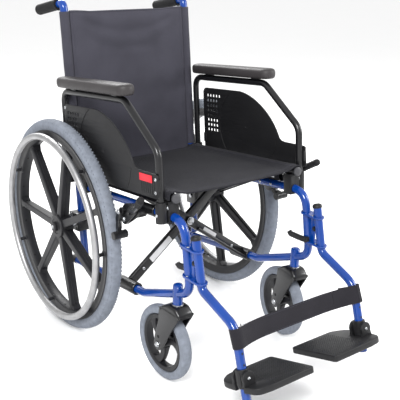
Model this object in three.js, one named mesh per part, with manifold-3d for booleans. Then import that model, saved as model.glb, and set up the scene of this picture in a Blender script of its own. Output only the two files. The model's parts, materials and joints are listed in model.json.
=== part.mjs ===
// A folding manual wheelchair: two welded side frames, a cross brace with the seat tubes on it, spoked
// rear wheels with handrims, swivelling casters, lift-out armrests, wheel locks and swing-away legrests.
// Millimetres, +Z up. The chair faces -Y and the occupant's left is +X.
import * as THREE from "three";
import { mergeVertices } from "three/addons/utils/BufferGeometryUtils.js";
import Module from "manifold-3d";

// ---------- driving dimensions ----------
const ORIGIN_Y = 239.295; // from the rear axle to the middle of the whole length
const FRAME_TILT = 6; // degrees: the side frames stand this much higher at the front
const GAP = 0.3; // clearance between neighbouring pieces

const REAR_RADIUS = 300;
const REAR_WIDTH = 36;
const REAR_X = 270; // rear wheel plane
const REAR_SIDES = 40;
const SPOKES = 7;
const SPOKE_TURN = 0.2; // radians, how the wheels happen to stand
const RIM_INNER = 247;
const HANDRIM_RADIUS = 256.5;
const HANDRIM_TUBE = 9.5;
const HANDRIM_X = 309;
const AXLE_RADIUS = 6;
const AXLE_START = 213; // inner end of the axle, outboard of the upright
const HUB_INNER_X = 250;
const HUB_OUTER_X = 298;

const TUBE = 11; // radius of the frame tubes
const CLEAR = 11.5; // radius that clears a frame tube
const FRAME_X = 198; // plane of each side frame
const TOP_TUBE_Z = 103; // frame heights are counted from the rear axle, square to the tilted frame
const LOWER_TUBE_Z = -135;
const SEAT_TUBE_Z = 151;
const UPRIGHT_X = 200;
const UPRIGHT_TOP = 605;
const UPRIGHT_FOOT = [13, -124];
const UPRIGHT_LEAN = 0.95; // degrees
const HANDLE_BEND = 16;
const HANDLE_RUN = 138; // push handle tube behind the upright
const HANDLE_DROP = 6; // degrees below the side frame's own y axis
const GRIP_START = 24; // from the upright back to the grip's front end
const GRIP_LENGTH = 128;
const GRIP_RADIUS = 15;
const ARM_X = 226;
const ARM_TUBE = 10;
const ARM_FRONT = -440; // the armrest's front and rear posts
const ARM_REAR = 12;
const ARM_TOP = 372;
const SOCKET_SLEEVE = 14.5;
const PAD_X = 229;
const PAD_HALF_WIDTH = 25;
const PAD_HEIGHT = 28;
const PAD_FRONT = -335;
const PAD_REAR = 15;
const GUARD_X = 236.6;
const GUARD_THICK = 4;
const GUARD_TOP = 340;

const BRACE_Y = -226; // middle of the cross brace along the frame
const BRACE_SLEEVE = 80;
const BRACE_WIDTH = 26;
const BRACE_THICK = 12;

const CASTER_RADIUS = 100;
const CASTER_WIDTH = 30;
const CASTER_SIDES = 24;
const CASTER_TRAIL = 50;
const STEM_Y = -460;
const CROWN_TOP = 222;
const HOUSING = { low: 226, top: 282, radius: 12.5, bore: 8, boreTop: 272 };
const CASTER_TURN = { right: 1.6, left: -9.6 }; // degrees, how each caster happens to stand

const HANGER_TOP = [-525, 428]; // y and z, level with the ground
const HANGER_FOOT = [-547, 338];
const FOOT_HINGE = [194.5, -709, 154];
const FOOT_PITCH = 18; // degrees: the footplates slope up to the front
const PLATE_INNER_X = 35; // the plates' inner edges, so that they pass each other as the chair folds
const PLATE_THICK = 16;
const PLATE_DROP = 15.3; // from the footplate's hinge down to its tread

// ---------- helpers ----------
const wasm = await Module();
wasm.setup();
const rad = THREE.MathUtils.degToRad;

// A closed three.js geometry as a manifold-3d solid, facing outwards.
function solid(geometry) {
  const bare = new THREE.BufferGeometry();
  bare.setAttribute("position", geometry.getAttribute("position"));
  if (geometry.index) bare.setIndex(geometry.index);
  const merged = mergeVertices(bare, 1e-3);
  const kept = [];
  const index = merged.index.array;
  for (let i = 0; i < index.length; i += 3) {
    const [a, b, c] = [index[i], index[i + 1], index[i + 2]];
    if (a !== b && b !== c && c !== a) kept.push(a, b, c);
  }
  const made = (triangles) =>
    new wasm.Manifold(
      new wasm.Mesh({
        numProp: 3,
        vertProperties: merged.attributes.position.array,
        triVerts: new Uint32Array(triangles),
      }),
    );
  const first = made(kept);
  return first.volume() >= 0 ? first : made(kept.reverse());
}

function join(...pieces) {
  return pieces.map(toSolid).reduce((a, b) => a.add(b));
}

function cut(body, ...tools) {
  return tools.map(toSolid).reduce((a, b) => a.subtract(b), toSolid(body));
}

function toSolid(piece) {
  return piece.isBufferGeometry ? solid(piece) : piece;
}

// A solid or a geometry as a plain geometry for a mesh.
function toGeometry(piece) {
  const mesh = toSolid(piece).getMesh();
  const positions = new Float32Array(mesh.numVert * 3);
  for (let i = 0; i < mesh.numVert; i++)
    positions.set(mesh.vertProperties.subarray(i * mesh.numProp, i * mesh.numProp + 3), i * 3);
  const geometry = new THREE.BufferGeometry();
  geometry.setAttribute("position", new THREE.BufferAttribute(positions, 3));
  geometry.setIndex(new THREE.BufferAttribute(mesh.triVerts, 1));
  return geometry;
}

// A path whose sampled points are exactly its own corner points.
class Route extends THREE.Curve {
  constructor(points) {
    super();
    this.points = points;
  }
  getPoint(u) {
    const at = u * (this.points.length - 1);
    const i = Math.min(Math.floor(at + 1e-9), this.points.length - 2);
    return this.points[i].clone().lerp(this.points[i + 1], at - i);
  }
  getPointAt(u) {
    return this.getPoint(u);
  }
  getTangentAt(u) {
    const i = Math.round(u * (this.points.length - 1));
    const last = this.points.length - 1;
    const into = i > 0 ? this.points[i].clone().sub(this.points[i - 1]).normalize() : new THREE.Vector3();
    const out = i < last ? this.points[i + 1].clone().sub(this.points[i]).normalize() : new THREE.Vector3();
    return into.add(out).normalize();
  }
}

// Straight runs through the corners [x, y, z, bend radius], with each corner rounded.
function bent(corners, steps = 4) {
  const at = corners.map(([x, y, z]) => new THREE.Vector3(x, y, z));
  const points = [at[0]];
  for (let i = 1; i < corners.length - 1; i++) {
    const into = at[i].clone().sub(at[i - 1]).normalize();
    const out = at[i + 1].clone().sub(at[i]).normalize();
    const reach = (corners[i][3] ?? 40) * Math.tan(into.angleTo(out) / 2);
    const start = at[i].clone().addScaledVector(into, -reach);
    const end = at[i].clone().addScaledVector(out, reach);
    const curve = new THREE.QuadraticBezierCurve3(start, at[i], end);
    points.push(...curve.getPoints(steps));
  }
  points.push(at[at.length - 1]);
  return points;
}

function roundShape(radius, sides) {
  const points = [];
  for (let i = 0; i < sides; i++) {
    const turn = ((i + 0.5) * 2 * Math.PI) / sides;
    points.push(new THREE.Vector2(radius * Math.cos(turn), radius * Math.sin(turn)));
  }
  return new THREE.Shape(points);
}

function tube(corners, radius = TUBE, sides = 12, steps = 3) {
  const points = bent(corners, steps);
  return new THREE.ExtrudeGeometry(roundShape(radius, sides), {
    steps: points.length - 1,
    extrudePath: new Route(points),
  });
}

// A round bar from one point to another.
function bar(from, to, radius, sides = 12) {
  return tube([from, to], radius, sides);
}

// A block between two opposite corners.
function block(low, high) {
  const size = high.map((h, i) => h - low[i]);
  const middle = high.map((h, i) => (h + low[i]) / 2);
  return new THREE.BoxGeometry(...size).translate(...middle);
}

// A shape drawn in its own plane and extruded square to it.
function extruded(shape, depth, curveSegments) {
  return new THREE.ExtrudeGeometry(shape, { depth, bevelEnabled: false, curveSegments });
}

// A plate of the outline [y, z], from x to x + thick.
function plateX(outline, x, thick) {
  const drawn = Array.isArray(outline);
  const shape = drawn ? new THREE.Shape(outline.map(([y, z]) => new THREE.Vector2(y, z))) : outline;
  const geometry = extruded(shape, thick, 8);
  // the outline's own axes become y and z, and the extrusion runs along x
  geometry.applyMatrix4(new THREE.Matrix4().set(0, 0, 1, x, 1, 0, 0, 0, 0, 1, 0, 0, 0, 0, 0, 1));
  return geometry;
}

// A ring about the X axis: profile [radius, x], with flats and not a corner at the bottom.
function ringX(profile, sides) {
  const grow = 1 / Math.cos(Math.PI / sides); // so that the flats, not the corners, have the radius
  const points = profile.map(([r, x]) => new THREE.Vector2(r * grow, x));
  const geometry = new THREE.LatheGeometry(points, sides, Math.PI / sides);
  return geometry.rotateZ(-Math.PI / 2);
}

// A closed profile for a tyre: a round tread with a flat seat on the rim.
function tyreProfile(outer, inner, width) {
  const half = width / 2;
  const round = outer - half * 0.9;
  const profile = [[inner, -half * 0.62]];
  for (let i = 0; i <= 4; i++) {
    const turn = (i / 4) * Math.PI;
    profile.push([round + half * 0.9 * Math.sin(turn), -half * Math.cos(turn)]);
  }
  profile.push([inner, half * 0.62], [inner, -half * 0.62]);
  return profile;
}

const paints = {
  frame: { color: 0x0a4fc8, roughness: 0.25, metalness: 0.3 },
  black: { color: 0x1b1b1d, roughness: 0.5, metalness: 0.1 },
  plastic: { color: 0x232325, roughness: 0.6, metalness: 0 },
  tyre: { color: 0x8f949c, roughness: 0.8, metalness: 0 },
  silver: { color: 0xd4d7da, roughness: 0.25, metalness: 0.9 },
  fabric: { color: 0x3a3a40, roughness: 0.9, metalness: 0 },
  pad: { color: 0x3b3b3d, roughness: 0.7, metalness: 0 },
};

function node(group, name, piece, paint) {
  const mesh = new THREE.Mesh(toGeometry(piece), new THREE.MeshStandardMaterial(paints[paint]));
  mesh.name = name;
  group.add(mesh);
  return mesh;
}

// ---------- the side frames: x is outboard, heights from the rear axle along the tilted frame ----------
const SIDE_ROUTE = [
  [FRAME_X, 5, TOP_TUBE_Z],
  [FRAME_X, -493, TOP_TUBE_Z, 52],
  [FRAME_X, -506, -75, 42],
  [FRAME_X, -300, LOWER_TUBE_Z + 0.5, 60],
  [FRAME_X, -180, LOWER_TUBE_Z, 60],
  [FRAME_X, 92, -141],
];

// From the level frame, with y from the axle and z from the ground, into the tilted frame.
function tilted(y, z) {
  const t = rad(FRAME_TILT);
  const height = z - REAR_RADIUS;
  return [y * Math.cos(t) - height * Math.sin(t), y * Math.sin(t) + height * Math.cos(t)];
}

function sideFrame() {
  const stemAt = (z) => [FRAME_X, ...tilted(STEM_Y, z)];
  const housing = bar(stemAt(HOUSING.low), stemAt(HOUSING.top), HOUSING.radius);
  const bore = bar(stemAt(HOUSING.low - 6), stemAt(HOUSING.boreTop), HOUSING.bore);
  return cut(join(tube(SIDE_ROUTE), housing), bore);
}

// The upright's own frame: z runs up its centre line from its foot.
function uprightPoint(height) {
  const lean = rad(UPRIGHT_LEAN);
  return [UPRIGHT_X, UPRIGHT_FOOT[0] + height * Math.sin(lean), UPRIGHT_FOOT[1] + height * Math.cos(lean)];
}


function handlePoint(back) {
  const top = uprightPoint(UPRIGHT_TOP - UPRIGHT_FOOT[1]);
  const drop = rad(HANDLE_DROP);
  return [top[0], top[1] + back * Math.cos(drop), top[2] - back * Math.sin(drop)];
}

function upright() {
  return tube([uprightPoint(0), [...handlePoint(0), HANDLE_BEND], handlePoint(HANDLE_RUN)]);
}

function pushGrip() {
  const sleeve = bar(handlePoint(GRIP_START), handlePoint(GRIP_START + GRIP_LENGTH), GRIP_RADIUS, 16);
  return cut(sleeve, bar(handlePoint(GRIP_START - 1), handlePoint(HANDLE_RUN + 1), CLEAR));
}

function axlePlate() {
  const plate = block([UPRIGHT_X - 13.5, -15, -26], [AXLE_START + 17, 32, 26]);
  const hole = bar([AXLE_START - 0.3, 0, 0], [AXLE_START + 20, 0, 0], AXLE_RADIUS + 0.4);
  return cut(plate, bar(uprightPoint(60), uprightPoint(200), CLEAR), hole);
}

function armSocketFront() {
  const cradle = block([FRAME_X - 15, -453, 88], [FRAME_X + 16, -426, 143]);
  const sleeve = bar([ARM_X, ARM_FRONT, 92], [ARM_X, ARM_FRONT, 143], SOCKET_SLEEVE);
  const seatTube = bar([FRAME_X, -500, SEAT_TUBE_Z], [FRAME_X, -400, SEAT_TUBE_Z], TUBE + 0.6);
  const post = bar([ARM_X, ARM_FRONT, 98], [ARM_X, ARM_FRONT, 150], ARM_TUBE + 0.5);
  return cut(join(cradle, sleeve), tube(SIDE_ROUTE, CLEAR), seatTube, post);
}

// The rear socket clamps the upright and reaches forward as a rest for the seat tube.
function armSocketRear() {
  const clamp = block([UPRIGHT_X - 15, -2, 117], [UPRIGHT_X + 15, 34, 165]);
  const sleeve = bar([ARM_X, ARM_REAR, 117], [ARM_X, ARM_REAR, 165], SOCKET_SLEEVE);
  const rest = block([FRAME_X - 13, -48, 90], [FRAME_X + 14, 2, 143]);
  const post = bar([ARM_X, ARM_REAR, 122], [ARM_X, ARM_REAR, 170], ARM_TUBE + 0.5);
  const seatTubeEnd = bar([FRAME_X, -100, SEAT_TUBE_Z], [FRAME_X, 1, SEAT_TUBE_Z], TUBE + 0.6);
  const upright = bar(uprightPoint(200), uprightPoint(350), CLEAR);
  return cut(join(clamp, sleeve, rest), upright, post, tube(SIDE_ROUTE, CLEAR), seatTubeEnd);
}

// ---------- armrest ----------
const ARM_ROUTE = [
  [ARM_X, ARM_FRONT, 99],
  [ARM_X, ARM_FRONT, 262, 45],
  [ARM_X, -306, ARM_TOP, 45],
  [ARM_X, ARM_REAR, ARM_TOP, 34],
  [ARM_X, ARM_REAR, 123],
];

function armrestPad() {
  const r = PAD_HALF_WIDTH;
  const shape = new THREE.Shape();
  shape.absarc(PAD_X, PAD_REAR - r, r, 0, Math.PI, false);
  shape.absarc(PAD_X, PAD_FRONT + r, r, Math.PI, 2 * Math.PI, false);
  return extruded(shape, PAD_HEIGHT, 6).translate(0, 0, ARM_TOP + ARM_TUBE + 2.5);
}

function sideGuard() {
  const top = GUARD_TOP;
  const shape = new THREE.Shape();
  shape.moveTo(-10, 153);
  shape.lineTo(-10, top - 12);
  shape.quadraticCurveTo(-10, top, -24, top);
  shape.lineTo(-180, top);
  shape.bezierCurveTo(-240, top - 4, -315, 292, -346, 232);
  shape.quadraticCurveTo(-354, 215, -372, 214);
  shape.lineTo(-452, 212);
  shape.lineTo(-455, 158);
  shape.lineTo(-440, 153);
  return plateX(shape, GUARD_X, GUARD_THICK);
}

// ---------- wheel lock (level frame: y from the axle, z from the ground) ----------
const LOCK_PIVOT = [-297, 409];
const SHOE_PIVOT = [-291, 430];
const SHOE = [-312, 378];

function lockBracket() {
  const [y, z] = [-352, 450]; // middle of the clamp on the top tube
  const clamp = block([200, y - 30, z - 14], [213, y + 30, z + 14]);
  const arm = block([212, -345, 400], [238, -318, 446]);
  const plate = plateX([[-352, 402], [-278, 394], [-276, 442], [-352, 462]], 237.5, 4);
  const leverBolt = bar([241, ...LOCK_PIVOT], [248.6, ...LOCK_PIVOT], 4, 8);
  const leverHead = bar([248.4, ...LOCK_PIVOT], [251.5, ...LOCK_PIVOT], 7, 6);
  const shoeBolt = bar([241, ...SHOE_PIVOT], [256, ...SHOE_PIVOT], 4, 8);
  const shoeHead = bar([255.6, ...SHOE_PIVOT], [259, ...SHOE_PIVOT], 7, 6);
  const all = join(clamp, arm, plate, leverBolt, leverHead, shoeBolt, shoeHead);
  const level = toSolid(tube(SIDE_ROUTE, CLEAR)).rotate([-FRAME_TILT, 0, 0]).translate([0, 0, REAR_RADIUS]);
  return all.subtract(level);
}

function lockLever() {
  const shape = new THREE.Shape();
  const [y, z] = LOCK_PIVOT;
  const [forward, up, end] = [39, 37, 13]; // to the plate's far end, and its end radius
  const run = Math.atan2(up, -forward);
  shape.absarc(y, z, end, run + Math.PI / 2, run - Math.PI / 2, false);
  shape.absarc(y - forward, z + up, end, run - Math.PI / 2, run + Math.PI / 2, false);
  const hole = new THREE.Path();
  hole.absarc(y - 0.64 * forward, z + 0.62 * up, 4, 0, 2 * Math.PI, true);
  shape.holes.push(hole);
  const plate = plateX(shape, 242.5, 5);
  const tip = [289, -434, 509];
  const arm = tube([[250, -332, 441], [253, -352, 452, 30], tip], 6.8, 8, 2);
  const grip = bar([267, -388, 477.5], tip, 9.5, 10);
  const bolt = bar([240, y, z], [252, y, z], 4.6, 8);
  return cut(join(plate, arm, grip), bolt);
}

function lockShoe() {
  const roller = bar([252, ...SHOE], [291, ...SHOE], 10.5, 10);
  const link = tube([[252, ...SHOE_PIVOT], [288, ...SHOE]], 6.5, 8);
  const boss = bar([250.6, ...SHOE_PIVOT], [255.2, ...SHOE_PIVOT], 10, 12);
  const bolt = bar([240, ...SHOE_PIVOT], [262, ...SHOE_PIVOT], 4.6, 8);
  const head = bar([255.2, ...SHOE_PIVOT], [275, ...SHOE_PIVOT], 7.6, 8);
  return cut(join(roller, link, boss), bolt, head);
}

// ---------- rear wheel, about its own axle ----------
function rearWheel() {
  const section = [[RIM_INNER, -14], [RIM_INNER, 14], [264.6, 11], [264.6, -11], [RIM_INNER, -14]];
  const rim = ringX(section, REAR_SIDES);
  const hub = ringX([[6.5, -20], [30, -20], [30, 20], [6.5, 28], [6.5, -20]], 24);
  const spokes = [];
  for (let i = 0; i < SPOKES; i++) {
    const turn = (i * 2 * Math.PI) / SPOKES + SPOKE_TURN;
    const spoke = block([-11, -11, 20], [11, 11, RIM_INNER + 3]);
    spokes.push(spoke.rotateX(turn));
    const post = block([10, -6, RIM_INNER - 0.5], [HANDRIM_X - REAR_X - HANDRIM_TUBE - GAP, 6, 258]);
    spokes.push(post.rotateX(turn + Math.PI / SPOKES));
  }
  return join(rim, hub, ...spokes);
}

function rearTyre() {
  return ringX(tyreProfile(REAR_RADIUS, 265, REAR_WIDTH), REAR_SIDES);
}

function handrim() {
  const profile = [];
  for (let i = 0; i <= 6; i++) {
    const turn = ((i + 0.5) / 6) * 2 * Math.PI;
    profile.push([HANDRIM_RADIUS + HANDRIM_TUBE * Math.cos(turn), HANDRIM_TUBE * Math.sin(turn)]);
  }
  return ringX(profile, 36);
}

function rearAxle() {
  const shaft = bar([AXLE_START, 0, 0], [HUB_OUTER_X + 5, 0, 0], AXLE_RADIUS);
  const shoulder = bar([AXLE_START + 17.4, 0, 0], [HUB_INNER_X - 0.4, 0, 0], 11);
  const cap = bar([HUB_OUTER_X + 1, 0, 0], [HUB_OUTER_X + 6, 0, 0], 13, 16);
  return join(shaft, shoulder, cap);
}

// ---------- caster, about its stem: y is the trail, z from the ground ----------
function casterFork() {
  const side = new THREE.Shape();
  side.moveTo(CASTER_TRAIL - 12, 84);
  side.lineTo(CASTER_TRAIL + 14, 88);
  side.lineTo(CASTER_TRAIL + 18, 104);
  side.lineTo(56, 178);
  side.lineTo(46, 192);
  side.lineTo(18, CROWN_TOP);
  side.lineTo(-18, CROWN_TOP);
  side.lineTo(-34, 208);
  side.lineTo(-24, 160);
  side.lineTo(CASTER_TRAIL - 25, 96);
  const cheeks = plateX(side, -24, 48);
  const slot = block([-20, -80, 0], [20, 120, 203.5]);
  const bore = bar([-40, CASTER_TRAIL, CASTER_RADIUS], [40, CASTER_TRAIL, CASTER_RADIUS], 4.4, 12);
  const spare = bar([-40, CASTER_TRAIL - 7, 125], [40, CASTER_TRAIL - 7, 125], 4.4, 12);
  const stem = bar([0, 0, 215], [0, 0, 268], 6.5);
  const race = bar([0, 0, 220], [0, 0, 225.6], 12);
  return join(cut(cheeks, slot, bore, spare), stem, race);
}

function casterWheel() {
  const rim = ringX([[66, -11], [66, 11], [76.7, 11], [76.7, -11], [66, -11]], CASTER_SIDES);
  const hub = ringX([[4.6, -19], [15, -19], [15, 19], [4.6, 19], [4.6, -19]], 16);
  const spokes = [];
  for (let i = 0; i < 3; i++) {
    const spoke = block([-8, -9, 10], [8, 9, 69]);
    spokes.push(spoke.rotateX((i * 2 * Math.PI) / 3 + 0.5));
  }
  return join(rim, hub, ...spokes);
}

function casterAxle() {
  const shaft = bar([-27, 0, 0], [27, 0, 0], 4, 10);
  return join(shaft, bar([24.3, 0, 0], [29, 0, 0], 7, 6), bar([-29, 0, 0], [-24.3, 0, 0], 7, 6));
}

// ---------- legrest (level frame) ----------
const [hangY, hangZ] = [HANGER_FOOT[0] - HANGER_TOP[0], HANGER_FOOT[1] - HANGER_TOP[1]];

function hangerAt(z) {
  const t = (z - HANGER_TOP[1]) / hangZ;
  return [FRAME_X, HANGER_TOP[0] + t * hangY, z];
}

// The lower leg tube's centre line, square to the footplate: y and z at a height.
function legLine(z) {
  return [FOOT_HINGE[1] + (z - FOOT_HINGE[2]) * Math.tan(rad(FOOT_PITCH)), z];
}

const LEG_ROUTE = [
  hangerAt(428),
  [...hangerAt(306), 26],
  [FOOT_HINGE[0], ...legLine(262), 60],
  [FOOT_HINGE[0], ...legLine(95)],
];

function hangerBracket() {
  const ears = [397, 323].map((z) => {
    const shape = new THREE.Shape();
    const frontY = hangerAt(z)[1];
    const rearY = z > 360 ? -489.8 : -503;
    shape.absarc(0, rearY, 15.5, 0, Math.PI, false);
    shape.absarc(0, frontY, 15.5, Math.PI, 2 * Math.PI, false);
    return toSolid(extruded(shape, 5, 6).translate(FRAME_X, 0, z - 2.5));
  });
  const web = block([FRAME_X - 2, -526, 321], [FRAME_X + 2, -506, 399]);
  const hanger = bar(hangerAt(440), hangerAt(300), CLEAR + 0.2, 16);
  const frame = toSolid(tube(SIDE_ROUTE, CLEAR)).rotate([-FRAME_TILT, 0, 0]).translate([0, 0, REAR_RADIUS]);
  return cut(join(...ears, web), hanger).subtract(frame);
}

function latchLever() {
  return join(
    tube([[183, -512, 331], [181, -490, 330, 12], [188, -442, 323]], 5, 8),
    bar([183, -512, 325.9], [183, -512, 337], 6, 8),
  );
}

function legrestTube() {
  const cap = bar(hangerAt(424), hangerAt(431), 12.6);
  return join(tube(LEG_ROUTE), cap);
}

// ---------- footplate, about its hinge: y runs back along the hinge, z is square to the plate ----------
function footBracket() {
  const sleeve = bar([0, 0, -24], [0, 0, 20], 13.6, 16);
  const pin = bar([0, -26, 0], [0, 26, 0], 4, 8);
  const heads = [-1, 1].map((s) => bar([0, s * 22, 0], [0, s * 27, 0], 7, 6));
  return cut(join(sleeve, pin, ...heads), bar([0, 0, -60], [0, 0, 60], CLEAR));
}

function footplate() {
  const inner = PLATE_INNER_X - FOOT_HINGE[0];
  const outer = 15.5;
  const notch = 14.4; // the leg tube's bracket stands in this notch
  const [front, rear] = [-63, 89];
  const shape = new THREE.Shape();
  shape.moveTo(inner, front + 10);
  shape.quadraticCurveTo(inner, front, inner + 10, front);
  shape.lineTo(-30, front);
  shape.quadraticCurveTo(outer - 4, front + 2, outer, front + 36);
  shape.lineTo(outer, -notch);
  shape.lineTo(-16.5, -notch);
  shape.lineTo(-16.5, notch);
  shape.lineTo(outer, notch);
  shape.lineTo(outer, 40);
  shape.quadraticCurveTo(outer - 2, rear - 12, -20, rear);
  shape.lineTo(inner + 10, rear);
  shape.quadraticCurveTo(inner, rear, inner, rear - 10);
  const plate = extruded(shape, PLATE_THICK, 4).translate(0, 0, -PLATE_DROP - PLATE_THICK);
  const ears = [-1, 1].map((s) => {
    const [y, thick, end] = [Math.min(s * notch, s * (notch + 7.1)), 7.1, 9];
    const lug = block([-end, y, -PLATE_DROP - 1], [end, y + thick, 0]);
    return join(lug, bar([0, y, 0], [0, y + thick, 0], end, 12));
  });
  return cut(join(plate, ...ears), bar([0, -30, 0], [0, 30, 0], 4.5, 8));
}

// ---------- cross brace (tilted frame), built about the pivot on one lower tube ----------
const BRACE_RISE = SEAT_TUBE_Z - LOWER_TUBE_Z;
const BRACE_LENGTH = Math.hypot(2 * FRAME_X, BRACE_RISE);
const BRACE_ANGLE = Math.atan2(BRACE_RISE, 2 * FRAME_X);

// front is 1 for the bar that passes in front at the middle, -1 for the one behind it.
function braceBar(front) {
  const half = BRACE_THICK / 2;
  const y = BRACE_Y - front * (half + GAP);
  const flat = block([12, y - half, -BRACE_WIDTH / 2], [BRACE_LENGTH - 13, y + half, BRACE_WIDTH / 2]);
  const sleeve = bar([0, BRACE_Y - BRACE_SLEEVE / 2, 0], [0, BRACE_Y + BRACE_SLEEVE / 2, 0], 17, 16);
  const bore = bar([0, BRACE_Y - 60, 0], [0, BRACE_Y + 60, 0], CLEAR + 0.15, 16);
  const strutEnd = y - front * (half + 1.5);
  const strutStart = BRACE_Y - front * (BRACE_SLEEVE / 2 - 6);
  const strut = tube([[8, strutStart, -12], [40, strutStart, -12, 20], [205, strutEnd, -8]], 5, 6, 2);
  const middle = BRACE_LENGTH / 2;
  const bolt = bar([middle, y - 20, 0], [middle, y + 20, 0], 5.5, 10);
  const endHub = bar([BRACE_LENGTH, BRACE_Y - 45, 0], [BRACE_LENGTH, BRACE_Y + 45, 0], CLEAR, 16);
  const collar = bar([BRACE_LENGTH, BRACE_Y - 36, 0], [BRACE_LENGTH, BRACE_Y + 36, 0], 15, 16);
  const whole = cut(join(flat, sleeve, strut, collar), bore, bolt, endHub);
  const turned = whole.rotate([0, (-BRACE_ANGLE * 180) / Math.PI, 0]).translate([-FRAME_X, 0, LOWER_TUBE_Z]);
  const underSeat = block([-250, -400, SEAT_TUBE_Z + 6], [250, 0, SEAT_TUBE_Z + 60]);
  const besideSeat = block([FRAME_X + 2, -400, SEAT_TUBE_Z - 8], [250, 0, SEAT_TUBE_Z + 60]);
  return cut(turned, underSeat, besideSeat);
}

function seatTube(x) {
  const cap = bar([x, -468, SEAT_TUBE_Z], [x, -464, SEAT_TUBE_Z], 12.4);
  return join(bar([x, -465, SEAT_TUBE_Z], [x, -3, SEAT_TUBE_Z], TUBE), cap);
}

function centreBolt() {
  const z = (SEAT_TUBE_Z + LOWER_TUBE_Z) / 2;
  const [front, rear] = [BRACE_Y - 19, BRACE_Y + 19];
  const shaft = bar([0, front, z], [0, rear, z], 5, 10);
  const heads = [front, rear - 1].map((y) => bar([0, y - 4, z], [0, y + 5, z], 9, 6));
  return join(shaft, ...heads);
}

// ---------- soft pieces ----------
const SLING_EDGE = 213;
const SLING_FRONT = -462;
const SLING_LENGTH = 455;

function seatSling() {
  const shape = new THREE.Shape();
  const edge = SLING_EDGE;
  shape.moveTo(-edge, 145);
  shape.lineTo(-209.6, 145);
  shape.lineTo(-209.6, 158);
  shape.lineTo(-204, 162.8);
  shape.lineTo(-190, 162.8);
  shape.quadraticCurveTo(0, 154, 190, 162.8);
  shape.lineTo(204, 162.8);
  shape.lineTo(209.6, 158);
  shape.lineTo(209.6, 145);
  shape.lineTo(edge, 145);
  shape.lineTo(edge, 163);
  shape.lineTo(207, 171);
  shape.quadraticCurveTo(0, 162, -207, 171);
  shape.lineTo(-edge, 163);
  // the shape's own axes are x and z, and the extrusion runs back from the front hem
  const place = new THREE.Matrix4().set(1, 0, 0, 0, 0, 0, 1, SLING_FRONT, 0, 1, 0, 0, 0, 0, 0, 1);
  return extruded(shape, SLING_LENGTH, 5).applyMatrix4(place);
}

const BACK_LOW = 291; // up the uprights, from their feet
const BACK_HEIGHT = 418;

function backSling() {
  const low = uprightPoint(BACK_LOW);
  const high = uprightPoint(BACK_LOW + BACK_HEIGHT);
  const shape = new THREE.Shape();
  shape.moveTo(-UPRIGHT_X, -4);
  shape.quadraticCurveTo(0, 8, UPRIGHT_X, -4);
  shape.lineTo(UPRIGHT_X, 3);
  shape.quadraticCurveTo(0, 15, -UPRIGHT_X, 3);
  const leaning = toSolid(extruded(shape, BACK_HEIGHT, 5)).rotate([-UPRIGHT_LEAN, 0, 0]);
  const panel = leaning.translate([0, low[1], low[2]]);
  const mirrored = ([x, y, z]) => [-x, y, z];
  const sleeves = join(bar(low, high, 13.6), bar(mirrored(low), mirrored(high), 13.6));
  const foot = uprightPoint(200);
  const head = uprightPoint(760);
  return cut(join(panel, sleeves), bar(foot, head, CLEAR), bar(mirrored(foot), mirrored(head), CLEAR));
}

const STRAP_MIDDLE = [-664, 231]; // y and z
const STRAP_LEAN = 23.8; // degrees
const STRAP_HALF = [23, 1.6]; // half its height and half its thickness
const STRAP_SPLIT = 129; // x where the right piece ends on the left one
const STRAP_END = 207;

function calfStrap(from, to) {
  const up = [Math.sin(rad(STRAP_LEAN)), Math.cos(rad(STRAP_LEAN))];
  const [y, z] = STRAP_MIDDLE;
  const [h, t] = STRAP_HALF;
  const outline = [
    [y - h * up[0] - t * up[1], z - h * up[1] + t * up[0]],
    [y - h * up[0] + t * up[1], z - h * up[1] - t * up[0]],
    [y + h * up[0] + t * up[1], z + h * up[1] - t * up[0]],
    [y + h * up[0] - t * up[1], z + h * up[1] + t * up[0]],
  ];
  return plateX(outline, from, to - from);
}

// ---------- assembly ----------
const chair = new THREE.Group();
chair.name = "wheelchair";
chair.position.y = ORIGIN_Y;

const frameGroup = new THREE.Group();
frameGroup.position.z = REAR_RADIUS;
frameGroup.rotation.x = -rad(FRAME_TILT);
chair.add(frameGroup);

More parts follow.
